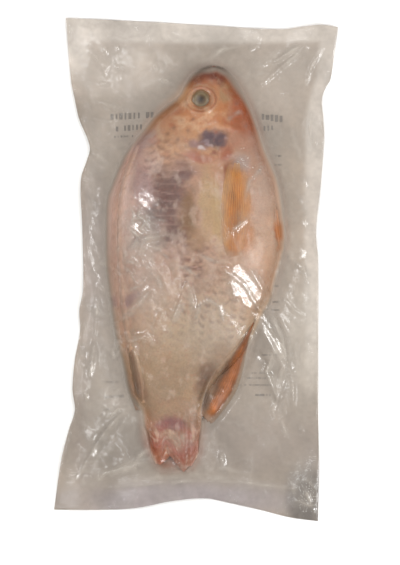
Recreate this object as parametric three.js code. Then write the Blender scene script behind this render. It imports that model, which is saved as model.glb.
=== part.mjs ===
// A whole raw fish, frozen and vacuum sealed in a clear flat pouch, lying on its side.
// Millimetres. +Y points to the head, +X to the belly and +Z up out of the flank that shows.
// The origin is under the middle of the pouch, on the surface that it rests on.
import * as THREE from "three";

// The pouch
const RIM_THICKNESS = 1.2; // two films welded together
const RIM_HEIGHT = 2.4; // middle of the rim above the resting surface
const RIM_LIFT = 5.5; // how far the fish lifts the film beside it
const RIM_LIFT_REACH = 19;
const RIPPLE_HEIGHT = 1.5; // waves in the free rim
const RIPPLE_LENGTH = 58;
const POCKET_THICKNESS = 1.7; // the unwelded films, with frost between them
const TENT_REACH = 8.5; // how far out the film leaves the fish before it meets the other film
const TENT_SHARE = 0.42; // where it leaves, as a share of the body's half thickness

// The fish
const BELOW_SHARE = 0.92; // the underside is a little flatter than the flank that shows
const FLANK_ROUNDNESS = 2.3; // 2 is an ellipse, more is flatter
const SNOUT_Y = 134;
const TAIL_END_Y = -132;
const DORSAL_FIN_HEIGHT = 3; // above the rim beside it
const SPINE_SPACING = 7.5;
const SPINE_RELIEF = 0.5;

// Grid of the upper face: cells between one guide line and the next
const COLUMN_CELLS = [2, 6, 32, 6, 2];
const ROW_CELLS = [2, 4, 12, 44, 24, 4, 2];

// Smooth curve through [position, value] pairs in rising order, level beyond its ends.
function curve(pairs) {
  const slope = pairs.map((_, i) => {
    const before = pairs[Math.max(i - 1, 0)];
    const after = pairs[Math.min(i + 1, pairs.length - 1)];
    return (after[1] - before[1]) / (after[0] - before[0]);
  });
  return (t) => {
    if (t <= pairs[0][0]) return pairs[0][1];
    if (t >= pairs.at(-1)[0]) return pairs.at(-1)[1];
    const i = pairs.findIndex((pair) => pair[0] > t) - 1;
    const step = pairs[i + 1][0] - pairs[i][0];
    const f = (t - pairs[i][0]) / step;
    const bend = f * (1 - f) * step;
    return (
      THREE.MathUtils.lerp(pairs[i][1], pairs[i + 1][1], f * f * (3 - 2 * f)) +
      bend * ((1 - f) * slope[i] - f * slope[i + 1])
    );
  };
}

// Edges of the pouch: the sides give x for a y, the ends give y for an x.
const leftEdge = curve([
  [-159, -93.7], [-126, -89], [-106, -84], [-93, -80], [-79, -81.5], [-60, -80], [-40, -76.5],
  [-27, -77], [-13, -74.5], [26, -75], [59, -76], [72, -72], [79, -70], [86, -71.5], [99, -77],
  [112, -80], [125, -82.5], [166, -86],
]);
const rightEdge = curve([
  [-166, 80.5], [-126, 81], [-86, 80.5], [6, 80.5], [26, 79.2], [53, 82], [86, 84.5],
  [99, 84], [112, 83], [119, 85], [125, 88.5], [145, 91.5], [160, 93.7],
]);
const topEdge = curve([
  [-86, 166], [-63, 165], [-24, 163], [16, 160.5], [55, 158.5], [72, 160.5], [82, 161.5], [94, 160],
]);
const bottomEdge = curve([
  [-94, -158.5], [-57, -158.5], [-37, -157], [-17, -153], [6, -151], [22, -154], [42, -158.5],
  [62, -163.5], [80, -166],
]);

// Inner lines of the heat seal
const leftSeal = curve([[-145, -76], [-126, -77], [-83, -73], [-63, -68], [26, -68], [98, -71], [150, -71]]);
const rightSeal = curve([[-150, 66], [-133, 69], [-112, 74], [-86, 72.5], [98, 72.5], [132, 80], [150, 81]]);
const topSeal = curve([[-86, 151], [0, 149], [94, 150]]);
const bottomSeal = curve([[-86, -144.5], [-57, -144], [-4, -139.5], [30, -145], [80, -150.5]]);

// Outline of the body without its fins, and half its thickness, all along y
const bodyBack = curve([
  [-133, -20], [-129, -25.5], [-119, -31], [-106, -34], [-94, -35], [-83, -38.5], [-63, -43],
  [-46, -46], [-20, -49.5], [6, -51.5], [33, -51.5], [54, -49.5], [69, -45.5], [84, -40],
  [93, -33], [101, -26.5], [108, -18], [114, -10.5], [121, -7], [128, -2], [132, 3.5], [134.5, 10],
]);
const bodyBelly = curve([
  [-133, -7], [-129, -2.5], [-119, 2.5], [-99, 4.5], [-86, 6], [-73, 13], [-60, 26.5], [-46, 36],
  [-30, 43.5], [-20, 49], [-7, 52], [13, 57.5], [23, 58], [46, 55.5], [59, 53], [69, 48.8],
  [79, 44.5], [90, 41], [100, 37.5], [111, 33.5], [123, 27], [129, 22.5], [132, 19], [134.5, 13],
]);
// Height of the plane that halves the body: the frozen tail has sagged, the snout a little
const middleHeight = curve([[-134, 6.5], [-95, 9], [-40, 12.5], [30, 13.5], [100, 12], [135, 9.5]]);
const halfThickness = curve([
  [-134, 1.5], [-126, 3], [-112, 4.5], [-99, 6.5], [-86, 9], [-66, 12.5], [-40, 17.5], [-7, 21.5],
  [33, 23], [69, 22], [93, 19.5], [112, 15.5], [122, 12.5], [129, 9.5], [132.5, 6], [134.5, 1.5],
]);

// The spiny fin folded along the back: its outer edge
const dorsalEdge = curve([
  [-94, -36], [-83, -43], [-63, -47.5], [-46, -52], [-20, -56], [6, -58.7], [33, -58.7], [46, -58],
  [54, -55.5], [69, -49.5], [84, -41.6],
]);

// Fins that lie flat on the flank or beside it: a leaf from root to tip
const leafFins = [
  { root: [23, 70], tip: [32, 2], halfWidth: 9, rise: 1.4, rays: 3 }, // pectoral
  { root: [44, 74], tip: [56, 6], halfWidth: 5, rise: 1.4, rays: 2 }, // pelvic
  { root: [38, -42], tip: [8, -104], halfWidth: 9.5, rise: 3, rays: 3 }, // anal
  { root: [-43, -52], tip: [-37, -94], halfWidth: 5.5, rise: 2.6, rays: 2 }, // soft end of the dorsal
];

// Head
const eye = { at: [3.3, 112.5], iris: 6, socket: 8.6, ringRise: 1.5, domeRise: 1.4 };
const gillCover = { at: [11, 95], across: 27, along: 25, rise: 1 };
const cheekLine = { path: [[3, 92], [14, 95.5], [30, 92]], height: 0.8, width: 2.2 };
const mouth = { path: [[9, 134], [12, 129.5], [15.5, 124.5]], height: -1.4, width: 1.8 };

// Tail: a trimmed fan of rays with a torn edge
const tail = { top: -95, notch: [-18, -126], notchRadius: 5, rays: 5, relief: 0.6 };

// Folds in the film, as ridges along a path
const creases = [
  { path: [[18, 0], [32, -10], [43.5, -28], [53.5, -45], [59, -65]], height: 2, width: 3.2 },
  { path: [[43.5, -35], [58, -60], [53.5, -85]], height: 2.6, width: 2.6 },
  { path: [[50, -57], [47, -67], [53.5, -85]], height: 2, width: 2.2 },
  { path: [[24, 25], [26.5, 16], [35.5, 0], [43.5, -13]], height: 1.2, width: 2.4 },
  { path: [[-5, -9], [-11, -25], [-18, -43]], height: 1.4, width: 2.6 },
  { path: [[-5, -9], [-1, -27]], height: 1.2, width: 2.4 },
  { path: [[-43.5, 14], [-32, 21], [-20.5, 22]], height: 1.1, width: 2.2 },
  { path: [[-35.5, 3], [-25, -7]], height: 1, width: 2.2 },
  { path: [[-55.5, -36], [-41.5, -27.5], [-30.5, -14]], height: 1.4, width: 2.6 },
  { path: [[-50, -44.5], [-37.5, -45], [-28.5, -47]], height: 1.3, width: 2.2 },
  { path: [[-45, -91], [-60, -107], [-73, -129]], height: 1.8, width: 2.8 },
  { path: [[-67, -50], [-70, -71]], height: 1.6, width: 2.4 },
  { path: [[72, 149], [54, 138]], height: 1.6, width: 2.6 },
  { path: [[73, 146], [55.5, 133], [43.5, 122]], height: 1.4, width: 2.4 },
  { path: [[-70, 145], [-61.5, 133]], height: 1.6, width: 2.6 },
  { path: [[-72, 80], [-58, 70]], height: 1.6, width: 3 },
  { path: [[63.5, -68], [64, -89]], height: 1.4, width: 2.4 },
  { path: [[-60, -134], [-30.5, -127]], height: 1.2, width: 3.2 },
];

const { clamp, lerp, smoothstep } = THREE.MathUtils;

// The larger of two heights, with the corner between them rounded over a width.
function roundedMax(a, b, width) {
  const share = clamp(0.5 + (a - b) / (2 * width), 0, 1);
  return lerp(b, a, share) + width * share * (1 - share);
}

// Distance from a point to a path, and how far along the path its nearest point is, from 0 to 1.
function nearest(path, x, y) {
  let best = { distance: Infinity, along: 0 };
  for (let i = 0; i + 1 < path.length; i += 1) {
    const [ax, ay] = path[i];
    const [bx, by] = path[i + 1];
    const lengthSquared = (bx - ax) ** 2 + (by - ay) ** 2;
    const t = clamp(((x - ax) * (bx - ax) + (y - ay) * (by - ay)) / lengthSquared, 0, 1);
    const distance = Math.hypot(x - lerp(ax, bx, t), y - lerp(ay, by, t));
    if (distance < best.distance) best = { distance, along: (i + t) / (path.length - 1) };
  }
  return best;
}

// Height of a ridge along a path, fading out at the path's ends.
function ridge({ path, height, width }, x, y) {
  const { distance, along } = nearest(path, x, y);
  const fade = 0.35 + 0.65 * Math.sin(Math.PI * clamp(along, 0, 1));
  return height * fade * Math.exp(-((distance / width) ** 2));
}

// Closed path round the body, for the distance to it.
const bodyPath = [];
for (let y = TAIL_END_Y; y <= SNOUT_Y; y += 4) bodyPath.push([bodyBack(y), y]);
for (let y = SNOUT_Y; y >= TAIL_END_Y; y -= 4) bodyPath.push([bodyBelly(y), y]);
bodyPath.push(bodyPath[0]);

function insideBody(x, y) {
  return y > TAIL_END_Y && y < SNOUT_Y && x > bodyBack(y) && x < bodyBelly(y);
}

function distanceToBody(x, y) {
  return insideBody(x, y) ? 0 : nearest(bodyPath, x, y).distance;
}

// 1 on the body's ridge, 0 at its outline. The fullest line is nearer the back than the belly.
function flankProfile(x, y) {
  if (!insideBody(x, y)) return 0;
  const middle = lerp(bodyBack(y), bodyBelly(y), 0.47);
  const edge = x < middle ? bodyBack(y) : bodyBelly(y);
  const across = clamp(Math.abs((x - middle) / (edge - middle)), 0, 1);
  return (1 - across ** FLANK_ROUNDNESS) ** 0.58;
}

// Middle of the film beside the fish, above the resting surface.
function rimMiddle(x, y) {
  const toFish = distanceToBody(x, y);
  const free = smoothstep(toFish, 4, 30);
  const wave =
    Math.sin((2 * Math.PI * (y + 0.35 * x)) / RIPPLE_LENGTH) * 0.6 +
    Math.sin((2 * Math.PI * (x - 0.5 * y)) / (RIPPLE_LENGTH * 0.62) + 1.3) * 0.4;
  return RIM_HEIGHT + RIM_LIFT * Math.exp(-toFish / RIM_LIFT_REACH) + RIPPLE_HEIGHT * wave * free;
}

// 1 inside the pocket, 0 on the welded band.
function pocketShare(x, y) {
  const inwards = Math.min(
    x - leftSeal(y),
    rightSeal(y) - x,
    topSeal(x) - y,
    y - bottomSeal(x),
  );
  return smoothstep(inwards, -1.5, 1.5);
}

// How much a flat fin adds to the surface under it.
function leafFin({ root, tip, halfWidth, rise, rays }, x, y) {
  const length = Math.hypot(tip[0] - root[0], tip[1] - root[1]);
  const axis = [(tip[0] - root[0]) / length, (tip[1] - root[1]) / length];
  const along = ((x - root[0]) * axis[0] + (y - root[1]) * axis[1]) / length;
  const across = (x - root[0]) * axis[1] - (y - root[1]) * axis[0];
  if (along < -0.06 || along > 1.06) return 0;
  const reach = halfWidth * (0.3 + 0.7 * Math.sin(Math.PI * clamp(along * 0.85 + 0.1, 0, 1)));
  const edge = 1 - smoothstep(Math.abs(across), reach - 1.2, reach + 1.2);
  const ends = smoothstep(along, -0.06, 0.04) * (1 - smoothstep(along, 0.9, 1.06));
  const ray = 0.25 * Math.cos((Math.PI * rays * across) / reach);
  return (rise + ray) * edge * ends;
}

// The folded spiny fin along the back, above the film beside it.
function dorsalFin(x, y) {
  const outer = dorsalEdge(y);
  const inner = bodyBack(y) + 6;
  const ends = smoothstep(y, -96, -86) * (1 - smoothstep(y, 74, 86));
  const band = smoothstep(x, outer - 1.5, outer + 2) * (1 - smoothstep(x, inner - 2, inner + 3));
  const spines = SPINE_RELIEF * Math.cos((2 * Math.PI * (y + 0.8 * (x - outer))) / SPINE_SPACING);
  return (DORSAL_FIN_HEIGHT + spines) * band * ends;
}

// The head's own relief
function headRelief(x, y) {
  const fromEye = Math.hypot(x - eye.at[0], y - eye.at[1]);
  const ring = eye.ringRise * Math.exp(-(((fromEye - eye.socket) / 1.9) ** 2));
  const dome = eye.domeRise * clamp(1 - (fromEye / eye.iris) ** 2, 0, 1);
  const [dx, dy] = [x - gillCover.at[0], y - gillCover.at[1]];
  const fromGill = Math.hypot(dx / gillCover.across, dy / gillCover.along);
  const cover = gillCover.rise * (1 - smoothstep(fromGill, 0.84, 1.08)) * smoothstep(112 - y, -4, 14);
  return ring + dome + cover + ridge(cheekLine, x, y) + ridge(mouth, x, y);
}

// Rays of the trimmed tail, and the notch torn in its end
function tailRelief(x, y) {
  if (y > tail.top || y < TAIL_END_Y - 6) return 0;
  const share = (x - bodyBack(y)) / (bodyBelly(y) - bodyBack(y));
  const rays = tail.relief * Math.cos(2 * Math.PI * tail.rays * share) * smoothstep(tail.top - y, 2, 12);
  const toNotch = Math.hypot(x - tail.notch[0], y - tail.notch[1]) / tail.notchRadius;
  return (insideBody(x, y) ? rays : 0) - 2.6 * Math.exp(-(toNotch ** 2));
}

function upperHeight(x, y) {
  const along = clamp(y, TAIL_END_Y, SNOUT_Y);
  const rim = rimMiddle(x, y) + lerp(RIM_THICKNESS, POCKET_THICKNESS, pocketShare(x, y)) / 2;
  const toFish = distanceToBody(x, y);
  const tent = rim + TENT_SHARE * halfThickness(along) * Math.exp(-((toFish / TENT_REACH) ** 1.5));
  const profile = flankProfile(x, y);
  const body = profile > 0 ? middleHeight(y) + halfThickness(y) * profile : 0;
  let height = roundedMax(body, tent, 2.5) + dorsalFin(x, y) * (1 - 0.75 * profile);
  for (const fin of leafFins) height += leafFin(fin, x, y);
  height += headRelief(x, y) * smoothstep(profile, 0, 0.4) + tailRelief(x, y);
  for (const crease of creases) height += ridge(crease, x, y);
  return Math.max(height, lowerHeight(x, y) + RIM_THICKNESS);
}

function lowerHeight(x, y) {
  const rim = rimMiddle(x, y) - RIM_THICKNESS / 2;
  const profile = flankProfile(x, y);
  const body = middleHeight(y) - BELOW_SHARE * halfThickness(y) * profile;
  return Math.max(profile > 0 ? -roundedMax(-body, -rim, 2.5) : rim, 0);
}

// Guide lines of the grid: columns give x for a y, rows give y for an x
const besideBack = curve([
  [-150, -44], [-132, -40], [-106, -37], [-60, -49], [6, -60], [46, -59], [84, -43], [113, -15],
  [134, -4], [150, -14],
]);
const besideBelly = curve([
  [-150, 8], [-132, 4], [-100, 14], [-66, 38], [-30, 48], [16, 60], [46, 58], [84, 43], [113, 34],
  [134, 30], [150, 38],
]);
const columns = [leftEdge, leftSeal, besideBack, besideBelly, rightSeal, rightEdge];
const rows = [
  bottomEdge,
  bottomSeal,
  () => TAIL_END_Y - 4,
  () => -95,
  () => 82,
  () => SNOUT_Y + 2,
  topSeal,
  topEdge,
];

// Position on a set of guide lines, cells of equal size between each pair.
function alongGuides(guides, cells, index, other) {
  let first = 0;
  let band = 0;
  while (index > first + cells[band]) {
    first += cells[band];
    band += 1;
  }
  return lerp(guides[band](other), guides[band + 1](other), (index - first) / cells[band]);
}

function gridPoint(column, row) {
  let x = 0;
  let y = 0;
  for (let pass = 0; pass < 4; pass += 1) {
    y = alongGuides(rows, ROW_CELLS, row, x);
    x = alongGuides(columns, COLUMN_CELLS, column, y);
  }
  return [x, y];
}

// The pouch as one closed surface: a fine upper face, a lower face of cells twice as large,
// and the cut edge between them.
function pouchGeometry() {
  const columnCount = COLUMN_CELLS.reduce((sum, cells) => sum + cells);
  const rowCount = ROW_CELLS.reduce((sum, cells) => sum + cells);
  const positions = [];
  const triangles = [];
  const upper = [];
  const lower = [];
  for (let row = 0; row <= rowCount; row += 1) {
    upper.push([]);
    lower.push([]);
    for (let column = 0; column <= columnCount; column += 1) {
      const [x, y] = gridPoint(column, row);
      upper[row].push(positions.length / 3);
      positions.push(x, y, upperHeight(x, y));
      if (row % 2 === 0 && column % 2 === 0) {
        lower[row][column] = positions.length / 3;
        positions.push(x, y, lowerHeight(x, y));
      }
    }
  }
  for (let row = 0; row < rowCount; row += 1) {
    for (let column = 0; column < columnCount; column += 1) {
      const [a, b] = [upper[row][column], upper[row][column + 1]];
      const [c, d] = [upper[row + 1][column], upper[row + 1][column + 1]];
      triangles.push(a, b, d, a, d, c);
    }
  }
  for (let row = 0; row < rowCount; row += 2) {
    for (let column = 0; column < columnCount; column += 2) {
      const [a, b] = [lower[row][column], lower[row][column + 2]];
      const [c, d] = [lower[row + 2][column], lower[row + 2][column + 2]];
      triangles.push(a, d, b, a, c, d);
    }
  }
  // Walk round the rim with the pouch on the left hand, two upper cells to each lower one.
  const rim = [];
  for (let column = 0; column < columnCount; column += 1) rim.push([0, column]);
  for (let row = 0; row < rowCount; row += 1) rim.push([row, columnCount]);
  for (let column = columnCount; column > 0; column -= 1) rim.push([rowCount, column]);
  for (let row = rowCount; row > 0; row -= 1) rim.push([row, 0]);
  for (let i = 0; i < rim.length; i += 2) {
    const [start, middle, end] = [rim[i], rim[i + 1], rim[(i + 2) % rim.length]];
    const [lowStart, lowEnd] = [start, end].map(([row, column]) => lower[row][column]);
    const [a, b, c] = [start, middle, end].map(([row, column]) => upper[row][column]);
    triangles.push(lowStart, b, a, lowStart, lowEnd, b, lowEnd, c, b);
  }
  const geometry = new THREE.BufferGeometry();
  geometry.setAttribute("position", new THREE.Float32BufferAttribute(positions, 3));
  geometry.setIndex(triangles);
  geometry.computeVertexNormals();
  return geometry;
}

const pouchMaterial = new THREE.MeshStandardMaterial({ color: 0xb9a08a, roughness: 0.22, metalness: 0 });
const pouch = new THREE.Mesh(pouchGeometry(), pouchMaterial);
pouch.name = "vacuum_pouch";

const group = new THREE.Group();
group.add(pouch);

export default group;
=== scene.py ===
import math
import bmesh
import bpy
import numpy as np
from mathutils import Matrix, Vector


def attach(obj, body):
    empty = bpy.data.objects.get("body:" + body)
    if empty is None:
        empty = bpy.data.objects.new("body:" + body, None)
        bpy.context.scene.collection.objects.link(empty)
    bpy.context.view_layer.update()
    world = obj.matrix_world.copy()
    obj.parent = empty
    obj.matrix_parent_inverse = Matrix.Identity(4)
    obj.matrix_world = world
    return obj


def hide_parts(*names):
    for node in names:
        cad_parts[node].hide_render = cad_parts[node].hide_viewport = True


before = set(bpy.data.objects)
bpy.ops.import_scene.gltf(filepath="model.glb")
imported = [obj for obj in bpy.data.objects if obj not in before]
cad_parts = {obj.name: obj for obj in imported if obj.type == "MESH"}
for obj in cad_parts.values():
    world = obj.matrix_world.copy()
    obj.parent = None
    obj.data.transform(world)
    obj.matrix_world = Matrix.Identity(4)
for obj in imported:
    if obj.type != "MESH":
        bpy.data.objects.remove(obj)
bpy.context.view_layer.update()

# A whole fish, frozen and vacuum sealed in a clear pouch. Sizes are millimetres until a mesh is made.
mm = 0.001
pieces = []

# numbers shared by several pieces

rimThickness = 1.2
rimHeight = 2.4
rimLift = 5.5
rimLiftReach = 19
rippleHeight = 1.5
rippleLength = 58
pocketThickness = 1.7
tentReach = 8.5
tentShare = 0.42
belowShare = 0.92
flankRoundness = 2.3
snoutY = 134
tailEndY = -132


def smoothCurve(pairs):
    # a smooth curve through [position, value] pairs, level beyond its ends
    at = np.array([p[0] for p in pairs], float)
    value = np.array([p[1] for p in pairs], float)
    before = np.concatenate(([0], np.arange(len(at) - 1)))
    after = np.concatenate((np.arange(1, len(at)), [len(at) - 1]))
    slope = (value[after] - value[before]) / (at[after] - at[before])

    def evaluate(t):
        t = np.clip(np.asarray(t, float), at[0], at[-1])
        i = np.clip(np.searchsorted(at, t, side="right") - 1, 0, len(at) - 2)
        step = at[i + 1] - at[i]
        f = (t - at[i]) / step
        ease = f * f * (3 - 2 * f)
        bend = f * (1 - f) * step
        return value[i] * (1 - ease) + value[i + 1] * ease + bend * ((1 - f) * slope[i] - f * slope[i + 1])

    return evaluate


# the sides of the pouch give x for a y, its ends give y for an x
leftEdge = smoothCurve([
    [-159, -93.7], [-126, -89], [-106, -84], [-93, -80], [-79, -81.5], [-60, -80], [-40, -76.5],
    [-27, -77], [-13, -74.5], [26, -75], [59, -76], [72, -72], [79, -70], [86, -71.5], [99, -77],
    [112, -80], [125, -82.5], [166, -86]])
rightEdge = smoothCurve([
    [-166, 80.5], [-126, 81], [-86, 80.5], [6, 80.5], [26, 79.2], [53, 82], [86, 84.5],
    [99, 84], [112, 83], [119, 85], [125, 88.5], [145, 91.5], [160, 93.7]])
topEdge = smoothCurve([
    [-86, 166], [-63, 165], [-24, 163], [16, 160.5], [55, 158.5], [72, 160.5], [82, 161.5], [94, 160]])
bottomEdge = smoothCurve([
    [-94, -158.5], [-57, -158.5], [-37, -157], [-17, -153], [6, -151], [22, -154], [42, -158.5],
    [62, -163.5], [80, -166]])
leftSeal = smoothCurve([[-145, -76], [-126, -77], [-83, -73], [-63, -68], [26, -68], [98, -71], [150, -71]])
rightSeal = smoothCurve([[-150, 66], [-133, 69], [-112, 74], [-86, 72.5], [98, 72.5], [132, 80], [150, 81]])
topSeal = smoothCurve([[-86, 151], [0, 149], [94, 150]])
bottomSeal = smoothCurve([[-86, -144.5], [-57, -144], [-4, -139.5], [30, -145], [80, -150.5]])

# the fish without its fins
bodyBack = smoothCurve([
    [-133, -20], [-129, -25.5], [-119, -31], [-106, -34], [-94, -35], [-83, -38.5], [-63, -43],
    [-46, -46], [-20, -49.5], [6, -51.5], [33, -51.5], [54, -49.5], [69, -45.5], [84, -40],
    [93, -33], [101, -26.5], [108, -18], [114, -10.5], [121, -7], [128, -2], [132, 3.5], [134.5, 10]])
bodyBelly = smoothCurve([
    [-133, -7], [-129, -2.5], [-119, 2.5], [-99, 4.5], [-86, 6], [-73, 13], [-60, 26.5], [-46, 36],
    [-30, 43.5], [-20, 49], [-7, 52], [13, 57.5], [23, 58], [46, 55.5], [59, 53], [69, 48.8],
    [79, 44.5], [90, 41], [100, 37.5], [111, 33.5], [123, 27], [129, 22.5], [132, 19], [134.5, 13]])
middleHeight = smoothCurve([[-134, 6.5], [-95, 9], [-40, 12.5], [30, 13.5], [100, 12], [135, 9.5]])
halfThickness = smoothCurve([
    [-134, 1.5], [-126, 3], [-112, 4.5], [-99, 6.5], [-86, 9], [-66, 12.5], [-40, 17.5], [-7, 21.5],
    [33, 23], [69, 22], [93, 19.5], [112, 15.5], [122, 12.5], [129, 9.5], [132.5, 6], [134.5, 1.5]])
dorsalEdge = smoothCurve([
    [-94, -36], [-83, -43], [-63, -47.5], [-46, -52], [-20, -56], [6, -58.7], [33, -58.7], [46, -58],
    [54, -55.5], [69, -49.5], [84, -41.6]])

# each fin's relief in the film: a leaf from root to tip
leafFins = {
    "pectoralFin": dict(root=(21, 71), tip=(33, 1), halfWidth=11, rise=1.4),
    "pelvicFin": dict(root=(51.5, 44), tip=(56, 7), halfWidth=3.8, rise=1.2),
    "analFin": dict(root=(36.5, -40), tip=(4, -104), halfWidth=11, rise=3, lift=0.8),
    "softDorsalFin": dict(root=(-43, -52), tip=(-37, -94), halfWidth=5.5, rise=2.6),
}
# the fins themselves, inside the film
finShapes = {
    "pectoralFin": dict(leafFins["pectoralFin"], root=(27, 72), tip=(24.5, 5), halfWidth=11),
    "pelvicFin": dict(leafFins["pelvicFin"], root=(53, 42), tip=(56.5, 11), halfWidth=2.6),
    "analFin": dict(leafFins["analFin"], root=(39, -33), tip=(6, -101), halfWidth=10.5, rootShare=0.15),
    "softDorsalFin": dict(leafFins["softDorsalFin"], rise=1.4),
}
eyeAt = (3.3, 112)
eyeIris = 5.2
eyeSocket = 8.6

# film pulled straight from the flank down to the rim, as a roof with two slopes
tautFold = dict(start=(17, 2), end=(60, -68), top=35.8, bottom=8, outer=0.3, inner=0.55, strip=7)

# where the film is pulled flat over the belly, beside its folds
pulledFaces = [
    dict(centre=(33.7, -10.9), along=(0.62, -0.78), radii=(19, 9.5), slope=(-0.42, 0.14), lift=0.4),
    dict(centre=(50.2, -45.2), along=(0.42, -0.91), radii=(22, 3.2), slope=(-0.43, 0.13), lift=0.1),
]

# folds in the front film that are as large as those of the solid: height, width, then the fold's points
largeCreases = [
    (2.6, 2.6, (43.5, -35), (58, -60), (53.5, -85)),
    (2, 2.2, (50, -57), (47, -67), (53.5, -85)),
    (1.2, 2.4, (24, 25), (26.5, 16), (35.5, 0), (43.5, -13)),
    (1.4, 2.6, (-5, -9), (-11, -25), (-18, -43)),
    (1.2, 2.4, (-5, -9), (-1, -27)),
    (1.1, 2.2, (-43.5, 14), (-32, 21), (-20.5, 22)),
    (1, 2.2, (-35.5, 3), (-25, -7)),
    (1.4, 2.6, (-55.5, -36), (-41.5, -27.5), (-30.5, -14)),
    (1.3, 2.2, (-50, -44.5), (-37.5, -45), (-28.5, -47)),
    (1.8, 2.8, (-45, -91), (-60, -107), (-73, -129)),
    (1.6, 2.4, (-67, -50), (-70, -71)),
    (1.6, 2.6, (72, 149), (54, 138)),
    (1.4, 2.4, (73, 146), (55.5, 133), (43.5, 122)),
    (1.6, 2.6, (-70, 145), (-61.5, 133)),
    (1.6, 3, (-72, 80), (-58, 70)),
    (1.4, 2.4, (63.5, -68), (64, -89)),
    (1.2, 3.2, (-60, -134), (-30.5, -127)),
]

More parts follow.
